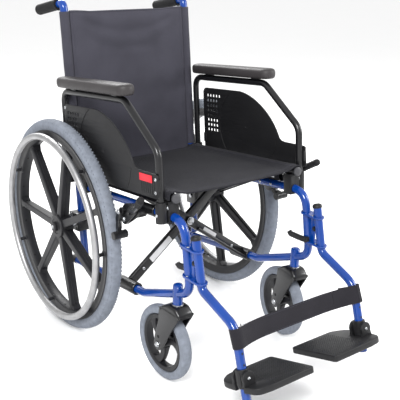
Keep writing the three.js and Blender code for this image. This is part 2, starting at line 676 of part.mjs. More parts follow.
for (const side of ["right", "left"]) {
  const hand = side === "left" ? 1 : -1;
  const named = (name) => `${side}_${name}`;

  const frame = new THREE.Group();
  frame.scale.x = hand;
  frameGroup.add(frame);
  node(frame, named("side_frame"), sideFrame(), "frame");
  node(frame, named("rear_upright"), upright(), "frame");
  node(frame, named("push_grip"), pushGrip(), "plastic");
  node(frame, named("axle_plate"), axlePlate(), "black");
  node(frame, named("arm_socket_front"), armSocketFront(), "plastic");
  node(frame, named("arm_socket_rear"), armSocketRear(), "plastic");
  node(frame, named("armrest_tube"), tube(ARM_ROUTE, ARM_TUBE), "black");
  node(frame, named("armrest_pad"), armrestPad(), "pad");
  node(frame, named("side_guard"), sideGuard(), "plastic");

  const level = new THREE.Group();
  level.scale.x = hand;
  chair.add(level);
  node(level, named("brake_bracket"), lockBracket(), "black");
  node(level, named("brake_lever"), lockLever(), "black");
  node(level, named("brake_shoe"), lockShoe(), "black");
  node(level, named("hanger_bracket"), hangerBracket(), "frame");
  node(level, named("latch_lever"), latchLever(), "black");
  node(level, named("legrest_tube"), legrestTube(), "frame");

  const axle = new THREE.Group();
  axle.position.z = REAR_RADIUS;
  level.add(axle);
  node(axle, named("rear_axle"), rearAxle(), "silver");
  const wheel = new THREE.Group();
  wheel.position.x = REAR_X;
  axle.add(wheel);
  node(wheel, named("rear_wheel"), rearWheel(), "black");
  node(wheel, named("rear_tyre"), rearTyre(), "tyre");
  const rim = new THREE.Group();
  rim.position.x = HANDRIM_X;
  axle.add(rim);
  node(rim, named("handrim"), handrim(), "silver");

  const caster = new THREE.Group();
  caster.position.set(hand * FRAME_X, STEM_Y, 0);
  caster.rotation.z = rad(CASTER_TURN[side]);
  chair.add(caster);
  node(caster, named("caster_fork"), casterFork(), "black");
  const roll = new THREE.Group();
  roll.position.set(0, CASTER_TRAIL, CASTER_RADIUS);
  caster.add(roll);
  node(roll, named("caster_axle"), casterAxle(), "silver");
  node(roll, named("caster_wheel"), casterWheel(), "black");
  const section = tyreProfile(CASTER_RADIUS, 77.2, CASTER_WIDTH);
  node(roll, named("caster_tyre"), ringX(section, CASTER_SIDES), "tyre");

  const foot = new THREE.Group();
  foot.position.set(...FOOT_HINGE);
  foot.rotation.x = -rad(FOOT_PITCH);
  level.add(foot);
  node(foot, named("footplate_bracket"), footBracket(), "black");
  node(foot, named("footplate"), footplate(), "plastic");
}

// crossbar_a rises from the right lower tube, crossbar_b from the left one
node(frameGroup, "crossbar_a", braceBar(-1), "black");
const crossedOver = new THREE.Group();
crossedOver.scale.x = -1;
frameGroup.add(crossedOver);
node(crossedOver, "crossbar_b", braceBar(1), "black");
node(frameGroup, "cross_bolt", centreBolt(), "silver");
node(frameGroup, "right_seat_tube", seatTube(-FRAME_X), "black");
node(frameGroup, "left_seat_tube", seatTube(FRAME_X), "black");
node(frameGroup, "seat_sling", seatSling(), "fabric");
node(frameGroup, "back_sling", backSling(), "fabric");
node(chair, "calf_strap_right", calfStrap(-STRAP_END, STRAP_SPLIT - 1), "fabric");
node(chair, "calf_strap_left", calfStrap(STRAP_SPLIT, STRAP_END), "fabric");

export default chair;
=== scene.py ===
import json
import math

import bmesh
import bpy
from mathutils import Matrix, Vector


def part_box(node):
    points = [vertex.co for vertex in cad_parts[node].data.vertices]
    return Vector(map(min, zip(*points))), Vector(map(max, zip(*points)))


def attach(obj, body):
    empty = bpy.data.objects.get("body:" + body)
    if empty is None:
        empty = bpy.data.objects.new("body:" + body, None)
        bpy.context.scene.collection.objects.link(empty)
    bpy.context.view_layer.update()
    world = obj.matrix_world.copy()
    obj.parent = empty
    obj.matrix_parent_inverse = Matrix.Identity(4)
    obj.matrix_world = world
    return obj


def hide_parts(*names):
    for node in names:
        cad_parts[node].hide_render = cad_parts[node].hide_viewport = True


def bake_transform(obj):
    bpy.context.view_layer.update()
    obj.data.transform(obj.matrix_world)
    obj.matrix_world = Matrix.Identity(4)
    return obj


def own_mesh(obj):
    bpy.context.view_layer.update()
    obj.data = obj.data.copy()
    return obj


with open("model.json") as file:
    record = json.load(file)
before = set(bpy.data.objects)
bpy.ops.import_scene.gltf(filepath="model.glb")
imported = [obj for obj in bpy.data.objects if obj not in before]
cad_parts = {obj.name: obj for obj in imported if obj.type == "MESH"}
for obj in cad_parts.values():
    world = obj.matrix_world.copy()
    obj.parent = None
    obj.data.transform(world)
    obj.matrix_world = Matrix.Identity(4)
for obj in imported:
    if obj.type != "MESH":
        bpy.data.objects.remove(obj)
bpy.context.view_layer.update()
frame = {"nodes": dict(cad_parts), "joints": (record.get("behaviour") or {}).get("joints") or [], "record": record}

MM = 0.001
SIDES = {"right": -1, "left": 1}


# ---------- places, from the frame ----------
def middle(node):
    low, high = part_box(node)
    return (low + high) / 2


def joint(name):
    return next(j for j in frame["joints"] if j["name"] == name)


AXLE = middle("left_rear_tyre")
FOLD_AXIS = joint("fold")["axis"]
TILT = math.atan2(FOLD_AXIS[2], -FOLD_AXIS[1])
WHEEL_X = AXLE.x / MM
REAR_RADIUS = AXLE.z / MM
HANDRIM_X = middle("left_handrim").x / MM
FRAME_X = middle("left_seat_tube").x / MM
STEM_Y = -460
SEAT_Z = 151
LOWER_Z = -135
BRACE_Y = -226
ARM_X = middle("left_armrest_tube").x / MM


def level(x, y, z):
    """Across, back from the rear axle and up from the ground."""
    return Vector((x * MM, AXLE.y + y * MM, z * MM))


def framed(x, y, z):
    """Across, back along the tilted side frame and up square to it, from the rear axle."""
    c, s = math.cos(TILT), math.sin(TILT)
    return Vector((x * MM, AXLE.y + (y * c + z * s) * MM, AXLE.z + (z * c - y * s) * MM))


# the side frames' own directions, one millimetre long: back along the rails and up, square to them
RAIL_WAY = framed(0, 1, 0) - framed(0, 0, 0)
RAISED = framed(0, 0, 1) - framed(0, 0, 0)
X_AXIS = Vector((1, 0, 0))
Z_AXIS = Vector((0, 0, 1))


def upright_plane(u, v, w):
    """Plates that stand along the chair, level with the ground: (back, up, outboard)."""
    return level(w, u, v)


# ---------- mesh tools ----------
class Form:
    """Faces gathered from several shapes, made into pieces at the end."""

    def __init__(self):
        self.verts = []
        self.faces = []

    def add(self, verts, faces):
        base = len(self.verts)
        self.verts.extend(verts)
        self.faces.extend(tuple(base + i for i in face) for face in faces)

    def mesh(self, name, mirrored=False, angle=35):
        flip = -1 if mirrored else 1
        made = bpy.data.meshes.new(name)
        made.from_pydata([(v[0] * flip, v[1], v[2]) for v in self.verts], [], self.faces)
        work = bmesh.new()
        work.from_mesh(made)
        bmesh.ops.remove_doubles(work, verts=work.verts, dist=1e-6)
        bmesh.ops.recalc_face_normals(work, faces=work.faces)
        work.to_mesh(made)
        work.free()
        made.shade_smooth()
        made.set_sharp_from_angle(angle=math.radians(angle))
        return made

    def piece(self, name, body, slot, replaces=(), mirrored=False, paint=None, angle=35):
        made = bpy.data.objects.new(name, self.mesh(name, mirrored, angle))
        bpy.context.scene.collection.objects.link(made)
        made.data.materials.append(paint or PAINTS[slot])
        if body:
            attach(made, body)
        if replaces:
            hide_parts(*replaces)
        return made

    def both(self, name, body, slot, nodes=(), paint=None, angle=35):
        """A piece for each side, standing for that side's CAD nodes."""
        made = {}
        for side in SIDES:
            own = [f"{side}_{n}" for n in nodes]
            made[side] = self.piece(
                f"{side}_{name}_detail", f"{side}_{body}", slot, own, side == "right", paint, angle
            )
        return made


def route(place, corners, steps=9):
    """Points through the corners (x, y, z, reach radius), each corner rounded."""
    at = [place(*corner[:3]) for corner in corners]
    points = [at[0]]
    for before, corner, after, named in zip(at, at[1:], at[2:], corners[1:]):
        into, out = (corner - before).normalized(), (after - corner).normalized()
        reach = named[3] * MM * math.tan(into.angle(out) / 2)
        start, end = corner - into * reach, corner + out * reach
        for i in range(steps + 1):
            t = i / steps
            points.append(start.lerp(corner, t).lerp(corner.lerp(end, t), t))
    points.append(at[-1])
    return points


def rod(form, radius, length, at, axis, sides=24):
    """A plain round bar that starts at a point."""
    turned(form, [(0, 0), (radius, 0), (radius, length), (0, length)], at, axis, sides)


def hole_shade_disc(form, at, axis, lift=0.3):
    """A disc that stands for a hole in a surface; the hole is not cut, and the disc's dark colour is painted shade
    in its place.
    """
    turned(form, [(0, lift), (2.6, lift), (2.8, 0), (2.8, -1), (0, -1)], at, axis, 16)


def circle(radius, sides=24):
    turns = [2 * math.pi * i / sides for i in range(sides)]
    return [(radius * math.cos(t), radius * math.sin(t)) for t in turns]


def joined_rows(form, verts, rows):
    """Faces between equal rows of points, one after another, with the two ends closed."""
    n = len(rows[0])
    faces = []
    for a, b in zip(rows, rows[1:]):
        faces += [(a[k], a[(k + 1) % n], b[(k + 1) % n], b[k]) for k in range(n)]
    form.add(verts, faces + [tuple(rows[0])[::-1], tuple(rows[-1])])


def sweep(form, points, section, up=None, sizes=None, closed=False):
    """Carries a closed section, in mm, along the points. `up` keeps its first axis that way."""
    count = len(points)
    rings = []
    side = None
    for i, point in enumerate(points):
        before = points[i - 1] if i or closed else point
        after = points[(i + 1) % count] if i < count - 1 or closed else point
        ahead = (after - before).normalized()
        if up is not None:
            side = up - ahead * up.dot(ahead)
        elif side is None:
            side = ahead.orthogonal()
        else:
            side = side - ahead * side.dot(ahead)
        side = side.normalized()
        other = ahead.cross(side)
        size = (sizes[i] if sizes else 1) * MM
        rings.append([point + side * u * size + other * v * size for u, v in section])
    n = len(section)
    verts = [v for ring in rings for v in ring]
    faces = []
    for i in range(count if closed else count - 1):
        a, b = i * n, ((i + 1) % count) * n
        faces += [(a + k, a + (k + 1) % n, b + (k + 1) % n, b + k) for k in range(n)]
    if not closed:
        faces += [tuple(range(n))[::-1], tuple((count - 1) * n + k for k in range(n))]
    form.add(verts, faces)


def tube(form, points, radius, sides=24, chamfer=1.2):
    """A round bar along the points, with chamfered ends."""
    first = points[0] + (points[1] - points[0]).normalized() * chamfer * MM
    last = points[-1] + (points[-2] - points[-1]).normalized() * chamfer * MM
    path = [points[0], first, *points[1:-1], last, points[-1]]
    ends = 1 - chamfer / radius
    sweep(form, path, circle(radius, sides), sizes=[ends, 1, *[1] * (len(points) - 2), 1, ends])


def turned(form, profile, at, axis, sides=40):
    """A turned shape: (radius, height) in mm, about the axis that leaves `at`."""
    axis = axis.normalized()
    first = axis.orthogonal().normalized()
    second = axis.cross(first)
    closed_ring = profile[0][0] > 0 and profile[-1][0] > 0
    verts, rows = [], []
    for radius, height in profile:
        centre = at + axis * height * MM
        if radius == 0:
            rows.append([len(verts)] * sides)
            verts.append(centre)
            continue
        rows.append(list(range(len(verts), len(verts) + sides)))
        for i in range(sides):
            t = 2 * math.pi * i / sides
            verts.append(centre + (first * math.cos(t) + second * math.sin(t)) * radius * MM)
    pairs = list(zip(rows, rows[1:]))
    if closed_ring:
        pairs.append((rows[-1], rows[0]))
    faces = []
    for a, b in pairs:
        for k in range(sides):
            j = (k + 1) % sides
            corners = [a[k], a[j], b[j], b[k]]
            face = tuple(dict.fromkeys(corners))
            if len(face) > 2:
                faces.append(face)
    form.add(verts, faces)


def plate(form, outline, place, low, high, edge=1.0, holes=()):
    """A flat plate of the outline (u, v) between the heights low and high, with rounded edges."""
    curve = bpy.data.curves.new("plate", "CURVE")
    curve.dimensions = "2D"
    curve.fill_mode = "BOTH"
    curve.extrude = (high - low) / 2 - edge
    curve.bevel_depth = edge
    curve.bevel_resolution = 2
    curve.offset = -edge
    for loop in [outline, *holes]:
        spline = curve.splines.new("POLY")
        spline.points.add(len(loop) - 1)
        for point, (u, v) in zip(spline.points, loop):
            point.co = (u, v, 0, 1)
        spline.use_cyclic_u = True
    holder = bpy.data.objects.new("plate", curve)
    bpy.context.scene.collection.objects.link(holder)
    made = holder.to_mesh()
    centre = (high + low) / 2
    verts = [place(v.co.x, v.co.y, v.co.z + centre) for v in made.vertices]
    form.add(verts, [tuple(p.vertices) for p in made.polygons])
    holder.to_mesh_clear()
    bpy.data.objects.remove(holder)
    bpy.data.curves.remove(curve)


def block(form, low, high, place, edge=1.5, steps=2):
    """A block between two corners, with rounded edges."""
    work = bmesh.new()
    bmesh.ops.create_cube(work, size=1)
    for v in work.verts:
        v.co = Vector([(l + h) / 2 + c * (h - l) for l, h, c in zip(low, high, v.co)])
    bmesh.ops.bevel(work, geom=work.edges[:], offset=edge, segments=steps, profile=0.5, affect="EDGES")
    work.verts.index_update()
    form.add([place(*v.co) for v in work.verts], [tuple(v.index for v in f.verts) for f in work.faces])
    work.free()


def softened(corners, radius, steps=5):
    """A closed outline with its corners rounded off."""
    points = []
    count = len(corners)
    for i, corner in enumerate(corners):
        own = corner[2] if len(corner) > 2 else radius
        here = Vector(corner[:2])
        before, after = Vector(corners[i - 1][:2]), Vector(corners[(i + 1) % count][:2])
        into, out = here - before, after - here
        reach = min(own, into.length * 0.49, out.length * 0.49)
        start, end = here - into.normalized() * reach, here + out.normalized() * reach
        for k in range(steps + 1):
            t = k / steps
            p = start.lerp(here, t).lerp(here.lerp(end, t), t)
            points.append((p.x, p.y))
    return points


def oblong(half_u, half_v):
    """The corners of a rectangle round the origin."""
    return [(-half_u, -half_v), (half_u, -half_v), (half_u, half_v), (-half_u, half_v)]


def ring_points(radius, u=0, v=0, start=0, stop=360, sides=24):
    """Points on an arc, in degrees."""
    whole = stop - start == 360
    count = sides if whole else sides + 1
    turns = [math.radians(start + (stop - start) * i / sides) for i in range(count)]
    return [(u + radius * math.cos(t), v + radius * math.sin(t)) for t in turns]


def hex_head(form, at, axis, radius=6.5, height=5, washer=True):
    """A hexagon head on a washer."""
    base = 1.3 if washer else 0
    if washer:
        rim = radius * 1.35
        turned(form, [(0, base), (rim - 0.4, base), (rim, base - 0.4), (rim, 0), (0, 0)], at, axis, 28)
    top = base + height
    head = [(0, top), (radius * 0.78, top), (radius, top - 1), (radius, base), (0, base)]
    turned(form, head, at, axis, 6)


def dome_screw(form, at, axis, radius=5):
    """A round screw head with a socket in it."""
    socket, depth = radius * 0.4, radius * 0.3
    top = radius * 0.5
    profile = [(0, top - depth), (socket, top - depth), (socket, top)]
    for i in range(1, 6):
        t = i / 5 * math.pi / 2
        reach = socket + (radius - socket) * math.sin(t)
        profile.append((reach, top * math.cos(t) * 0.9 + 0.05))
    turned(form, [*profile, (0, 0)], at, axis, 24)


def weld(form, at, axis, radius, bead=1.6):
    """A weld bead round a tube."""
    turns = [i * math.pi / 4 for i in range(8)]
    profile = [(radius + bead * math.cos(t), bead * 1.5 * math.sin(t)) for t in turns]
    turned(form, profile, at, axis, 32)


def refined(form, node, edge=1.4):
    """The CAD node's own shape with its edges rounded."""
    work = bmesh.new()
    work.from_mesh(frame["nodes"][node].data)
    bmesh.ops.remove_doubles(work, verts=work.verts, dist=2e-5)
    bmesh.ops.dissolve_limit(work, angle_limit=math.radians(2), verts=work.verts, edges=work.edges)
    sharp = [e for e in work.edges if e.is_manifold and e.calc_face_angle(0) > math.radians(40)]
    bmesh.ops.bevel(
        work, geom=sharp, offset=edge * MM, segments=2, profile=0.5, affect="EDGES", clamp_overlap=True
    )
    work.verts.index_update()
    form.add([v.co.copy() for v in work.verts], [tuple(v.index for v in f.verts) for f in work.faces])
    work.free()


# ---------- materials ----------
class Paint:
    """A procedural material: its colour, roughness and bump vary over the surface."""

    def __init__(self, name, colour, roughness, metallic=0.0):
        self.made = bpy.data.materials.new(name)
        self.made.use_nodes = True
        self.tree = self.made.node_tree
        self.shader = self.tree.nodes["Principled BSDF"]
        self.shader.inputs["Metallic"].default_value = metallic
        self.coords = self.tree.nodes.new("ShaderNodeTexCoord").outputs["Object"]
        self.colour = colour
        self.roughness = roughness
        self.height = None

    def noise(self, scale, detail=3.0, stretch=None):
        made = self.tree.nodes.new("ShaderNodeTexNoise")
        made.inputs["Scale"].default_value = scale
        made.inputs["Detail"].default_value = detail
        self.link(self.mapped(stretch), made.inputs["Vector"])
        return made.outputs["Fac"]

    def cells(self, scale, feature="F1"):
        made = self.tree.nodes.new("ShaderNodeTexVoronoi")
        made.feature = feature
        made.inputs["Scale"].default_value = scale
        self.link(self.coords, made.inputs["Vector"])
        return made.outputs["Distance"]

    def bands(self, scale, direction, distortion=0.0):
        made = self.tree.nodes.new("ShaderNodeTexWave")
        made.wave_type = "BANDS"
        made.bands_direction = direction
        made.inputs["Scale"].default_value = scale
        made.inputs["Distortion"].default_value = distortion
        made.inputs["Detail Scale"].default_value = 2.0
        self.link(self.coords, made.inputs["Vector"])
        return made.outputs["Fac"]

    def mapped(self, stretch):
        if not stretch:
            return self.coords
        made = self.tree.nodes.new("ShaderNodeMapping")
        made.inputs["Scale"].default_value = stretch
        self.link(self.coords, made.inputs["Vector"])
        return made.outputs["Vector"]

    def link(self, source, target):
        self.tree.links.new(source, target)

    def math(self, operation, a, b):
        made = self.tree.nodes.new("ShaderNodeMath")
        made.operation = operation
        for socket, value in zip(made.inputs, (a, b)):
            if isinstance(value, (int, float)):
                socket.default_value = value
            else:
                self.link(value, socket)
        return made.outputs["Value"]

    def ramp(self, source, stops):
        made = self.tree.nodes.new("ShaderNodeValToRGB")
        ramp = made.color_ramp
        while len(ramp.elements) < len(stops):
            ramp.elements.new(0.5)
        for element, (place, colour) in zip(ramp.elements, stops):
            element.position = place
            element.color = (*colour, 1)
        self.link(source, made.inputs["Fac"])
        return made.outputs["Color"]

    def vary(self, source, low=0.85, high=1.15, start=0.35, stop=0.65):
        """The base colour, from low to high times itself as the source goes from start to stop."""
        dark = [c * low for c in self.colour]
        light = [min(c * high, 1) for c in self.colour]
        self.link(self.ramp(source, [(start, dark), (stop, light)]), self.shader.inputs["Base Color"])
        return self

    def worn(self, source, colour, fine, start):
        """Scuffs of another colour where the source is high, over the fine variation."""
        dark, light = ([c * share for c in self.colour] for share in (0.85, 1.15))
        base = self.ramp(fine, [(0.3, dark), (0.7, light)])
        mask = self.tree.nodes.new("ShaderNodeMapRange")
        mask.inputs["From Min"].default_value = start
        mask.inputs["From Max"].default_value = start + 0.06
        self.link(source, mask.inputs["Value"])
        mix = self.tree.nodes.new("ShaderNodeMix")
        mix.data_type = "RGBA"
        self.link(mask.outputs["Result"], mix.inputs[0])
        self.link(base, mix.inputs[6])
        mix.inputs[7].default_value = (*colour, 1)
        self.link(mix.outputs[2], self.shader.inputs["Base Color"])
        return self

    def rough(self, source, spread=0.08):
        made = self.tree.nodes.new("ShaderNodeMapRange")
        made.inputs["To Min"].default_value = max(self.roughness - spread, 0.02)
        made.inputs["To Max"].default_value = min(self.roughness + spread, 1)
        self.link(source, made.inputs["Value"])
        self.link(made.outputs["Result"], self.shader.inputs["Roughness"])
        return self

    def bump(self, source, strength, distance):
        made = self.tree.nodes.new("ShaderNodeBump")
        made.inputs["Strength"].default_value = strength
        made.inputs["Distance"].default_value = distance * MM
        self.link(source, made.inputs["Height"])
        if self.height is not None:
            self.link(self.height, made.inputs["Normal"])
        self.height = made.outputs["Normal"]
        self.link(self.height, self.shader.inputs["Normal"])
        return self

    def set(self, **values):
        names = {"coat": "Coat Weight", "coat_roughness": "Coat Roughness", "sheen": "Sheen Weight"}
        names.update({"sheen_roughness": "Sheen Roughness", "specular": "Specular IOR Level"})
        for key, value in values.items():
            self.shader.inputs[names[key]].default_value = value
        return self


def painted_metal(name, colour, roughness, coat):
    p = Paint(name, colour, roughness)
    p.worn(p.noise(55, 6), [c * 1.35 + 0.004 for c in colour], p.noise(9), 0.76)
    p.rough(p.noise(30, 4), 0.06)
    p.bump(p.noise(420, 2), 0.12, 0.12)
    return p.set(coat=coat, coat_roughness=0.06, specular=0.35).made


def moulded(name, colour, roughness, grain=900, depth=0.12):
    p = Paint(name, colour, roughness)
    p.worn(p.noise(38, 6), [c * 1.5 + 0.003 for c in colour], p.noise(12), 0.75)
    p.rough(p.noise(60, 3), 0.07)
    p.bump(p.cells(grain), 0.35, depth)
    return p.bump(p.noise(26, 2), 0.1, 0.5).set(specular=0.28).made


def rubber(name, colour, roughness):
    p = Paint(name, colour, roughness)
    p.worn(p.noise(40, 7), [c * 1.12 + 0.004 for c in colour], p.noise(70, 4), 0.66)
    p.rough(p.noise(45, 4), 0.09)
    return p.bump(p.noise(700, 3), 0.3, 0.15).set(specular=0.2).made


def bare_metal(name, colour, roughness, streak):
    p = Paint(name, colour, roughness, metallic=1.0)
    p.vary(p.noise(35, 4), 0.9, 1.06)
    p.rough(p.noise(60, 3, stretch=streak), 0.04)
    return p.bump(p.noise(500, 3, stretch=streak), 0.05, 0.02).made


def woven(name, colour, threads, across, along, roughness=0.85, sheen=0.04):
    """Plain weave: two sets of threads, `threads` to the metre, across each other."""
    p = Paint(name, colour, roughness)
    scale = threads / 2
    warp, weft = p.bands(scale, across, 0.6), p.bands(scale, along, 0.6)
    crossed = p.math("MULTIPLY", warp, weft)
    mottle = p.math("ADD", p.math("MULTIPLY", crossed, 0.55), p.math("MULTIPLY", p.noise(14, 5), 0.6))
    p.vary(mottle, 0.72, 1.3, 0.2, 0.8)
    p.rough(p.noise(40, 3), 0.06)
    p.bump(crossed, 0.5, 0.25)
    p.bump(p.noise(30, 3), 0.15, 1.2)
    return p.set(sheen=sheen, sheen_roughness=0.5, specular=0.12).made


PAINTS = {
    "frame_paint": painted_metal("frame_paint", (0.001, 0.036, 0.22), 0.14, 0.35),
    "black_metal": painted_metal("black_metal", (0.005, 0.005, 0.006), 0.32, 0.2),
    "moulded_plastic": moulded("moulded_plastic", (0.009, 0.009, 0.010), 0.48),
    "wheel_plastic": moulded("wheel_plastic", (0.011, 0.011, 0.013), 0.44, 700),
    "grip_rubber": rubber("grip_rubber", (0.008, 0.008, 0.009), 0.6),
    "armrest_foam": moulded("armrest_foam", (0.030, 0.027, 0.028), 0.5, 1300, 0.2),
    "tyre": rubber("tyre", (0.165, 0.182, 0.215), 0.72),
    "handrim": bare_metal("handrim", (0.37, 0.37, 0.375), 0.46, (1, 1, 1)),
    "zinc": bare_metal("zinc", (0.45, 0.46, 0.475), 0.28, (1, 4, 1)),
    "seat_fabric": woven("seat_fabric", (0.014, 0.014, 0.018), 800, "X", "Y"),
    "back_fabric": woven("back_fabric", (0.046, 0.045, 0.058), 800, "X", "Z"),
    "webbing": woven("webbing", (0.018, 0.017, 0.021), 500, "X", "Z", 0.9),
}
LABEL_RED = moulded("label_red", (0.6, 0.015, 0.03), 0.35, 2000, 0.02)
LABEL_WHITE = moulded("label_white", (0.62, 0.62, 0.63), 0.4, 2000, 0.02)
CAP_GREY = moulded("cap_grey", (0.05, 0.05, 0.055), 0.45)
# near-black for discs that stand in for holes: painted shade in place of each hole's shaded inside
HOLE_SHADE = moulded("painted_hole_shade", (0.004, 0.004, 0.004), 0.8)
THREAD = woven("thread", (0.055, 0.054, 0.07), 1500, "X", "Z", 0.8)


# ---------- side frames ----------
TUBE = 11
HOUSING_LOW = 226
SIDE_ROUTE = [
    (FRAME_X, 5, 103),
    (FRAME_X, -493, 103, 52),
    (FRAME_X, -506, -75, 42),
    (FRAME_X, -300, LOWER_Z + 0.5, 60),
    (FRAME_X, -180, LOWER_Z, 60),
    (FRAME_X, 92, -141),
]
UPRIGHT_X = 200
UPRIGHT_LEAN = math.radians(0.95)
UPRIGHT_FOOT = (13, -124)
UPRIGHT_HEIGHT = 729
HANDLE_DROP = math.radians(12)
HANDLE_BEND = 16
HANDLE_RUN = 144
HANDLE_BACK = Vector((0, math.cos(HANDLE_DROP), -math.sin(HANDLE_DROP)))


def upright_at(height):
    """On the rear upright, counted from its lower end."""
    lean = Vector((0, math.sin(UPRIGHT_LEAN), math.cos(UPRIGHT_LEAN))) * height
    return framed(UPRIGHT_X, UPRIGHT_FOOT[0] + lean.y, UPRIGHT_FOOT[1] + lean.z)


def handle_at(back):
    return upright_at(UPRIGHT_HEIGHT) + HANDLE_BACK * back * MM


def side_frames():
    form = Form()
    path = route(framed, SIDE_ROUTE)
    tube(form, path, TUBE, 28)
    low = level(FRAME_X, STEM_Y, HOUSING_LOW)
    housing = [(0, 0), (11.8, 0), (12.6, 0.8), (12.6, 50), (11.8, 51), (0, 51)]
    turned(form, housing, low, Z_AXIS, 36)
    housing_cap = [(0, 58.5), (6, 58), (10, 56.4), (12, 54), (12, 50), (0, 50)]
    turned(form, housing_cap, low, Z_AXIS, 32)
    for y, z in ((5, 103), (24, LOWER_Z - 4)):
        weld(form, framed(FRAME_X, y, z), RAIL_WAY, TUBE)
    form.both("side_frame", "side", "frame_paint", ["side_frame"])
    tip = Form()
    end = framed(FRAME_X, 92, -141)
    back = (end - framed(FRAME_X, 60, -140.3)).normalized()
    cap = [(0, 4), (8, 3.6), (11.4, 1.5), (12, -1), (12, -26), (11.2, -27), (11.2, -26), (0, -26)]
    turned(tip, cap, end, back, 28)
    tip.both("frame_end_cap", "side", "moulded_plastic")


def uprights():
    form = Form()
    top = upright_at(UPRIGHT_HEIGHT)
    end = handle_at(HANDLE_RUN)
    into = (top - upright_at(0)).normalized()
    reach = HANDLE_BEND * MM * math.tan(into.angle(HANDLE_BACK) / 2)
    start, stop = top - into * reach, top + HANDLE_BACK * reach
    bend = [start.lerp(top, i / 9).lerp(top.lerp(stop, i / 9), i / 9) for i in range(10)]
    tube(form, [upright_at(0), *bend, end], TUBE, 28)
    form.both("rear_upright", "side", "frame_paint", ["rear_upright"])

    grip = Form()
    start, length = 24, 128
    profile = [(0, 2), (11, 2), (11.4, 0), (16, 0), (16.8, 1.5), (16.8, 6), (15.4, 7.5)]
    ribs = 17
    for i in range(ribs):
        at = 11 + i * (length - 22) / ribs
        profile += [(13.4, at), (14.6, at + 1.2), (14.8, at + 3.6), (13.4, at + 4.8)]
    profile += [(15, length - 10), (15, length - 4), (13.4, length - 1), (9, length), (0, length)]
    turned(grip, profile, handle_at(start), HANDLE_BACK, 28)
    grip.both("push_grip", "side", "grip_rubber", ["push_grip"])


def side_fittings():
    """The plates and sockets on the side frames, with their bolts."""
    for node, slot in (
        ("axle_plate", "black_metal"),
        ("arm_socket_front", "moulded_plastic"),
        ("arm_socket_rear", "moulded_plastic"),
        ("hanger_bracket", "frame_paint"),
    ):
        form = Form()
        refined(form, f"left_{node}", 1.1 if node == "hanger_bracket" else 1.8)
        form.both(node, "side", slot, [node])

    bolts = Form()
    for z in (-17, 17):
        hex_head(bolts, framed(230, 20, z), X_AXIS, 5.5, 4)
    hex_head(bolts, framed(FRAME_X + 16, -446, 128), X_AXIS, 5.5, 4)
    dome_screw(bolts, framed(ARM_X + 14, -440, 112), X_AXIS, 4.5)
    dome_screw(bolts, framed(ARM_X + 14, 12, 140), X_AXIS, 4.5)
    for y in (-369, -325):
        dome_screw(bolts, framed(FRAME_X - TUBE, y, 103), -X_AXIS, 4)
    for z in (397, 323):
        _, pin_y, _ = hanger_at(z)
        dome_screw(bolts, level(FRAME_X + 9, -508, z + 2.5), Z_AXIS, 3.5)
        dome_screw(bolts, level(FRAME_X - 9, pin_y + 12, z + 3), Z_AXIS, 3)
    axle_nut = [(0, 5), (5, 5), (7, 3.5), (7, 0), (0, 0)]
    turned(bolts, axle_nut, framed(UPRIGHT_X - 13.5, 6, 0), -X_AXIS, 6)
    bolts.both("side_bolts", "side", "zinc")

    shaft = Form()
    hub_end = HUB_OUT + 1
    inner_end = level(213, 0, REAR_RADIUS)
    rod(shaft, 6, hub_end - 213, inner_end, X_AXIS)
    collar = [(6, 17.4), (11, 17.4), (11.6, 19), (11.6, 34), (11, 36), (6, 36)]
    turned(shaft, collar, inner_end, X_AXIS, 28)
    cap = [(0, 1.5), (2.2, 1.5), (2.6, 2.6), (4.6, 2.4), (5.4, 1.2), (5.4, -3), (0, -3)]
    turned(shaft, cap, level(hub_end + 1.5, 0, REAR_RADIUS), X_AXIS, 6)
    shaft.both("rear_axle", "side", "zinc", ["rear_axle"])


# ---------- rear wheels ----------
SPOKES = 7
SPOKE_TURN = 0.2
HUB_OUT = 298
RIM_IN = 247


def wheel_place(turn):
    """Out along the spoke, across it and along the axle, from the wheel's centre."""
    c, s = math.cos(turn), math.sin(turn)

    def place(u, v, w):
        return level(WHEEL_X + w, -u * s - v * c, REAR_RADIUS + u * c - v * s)

    return place


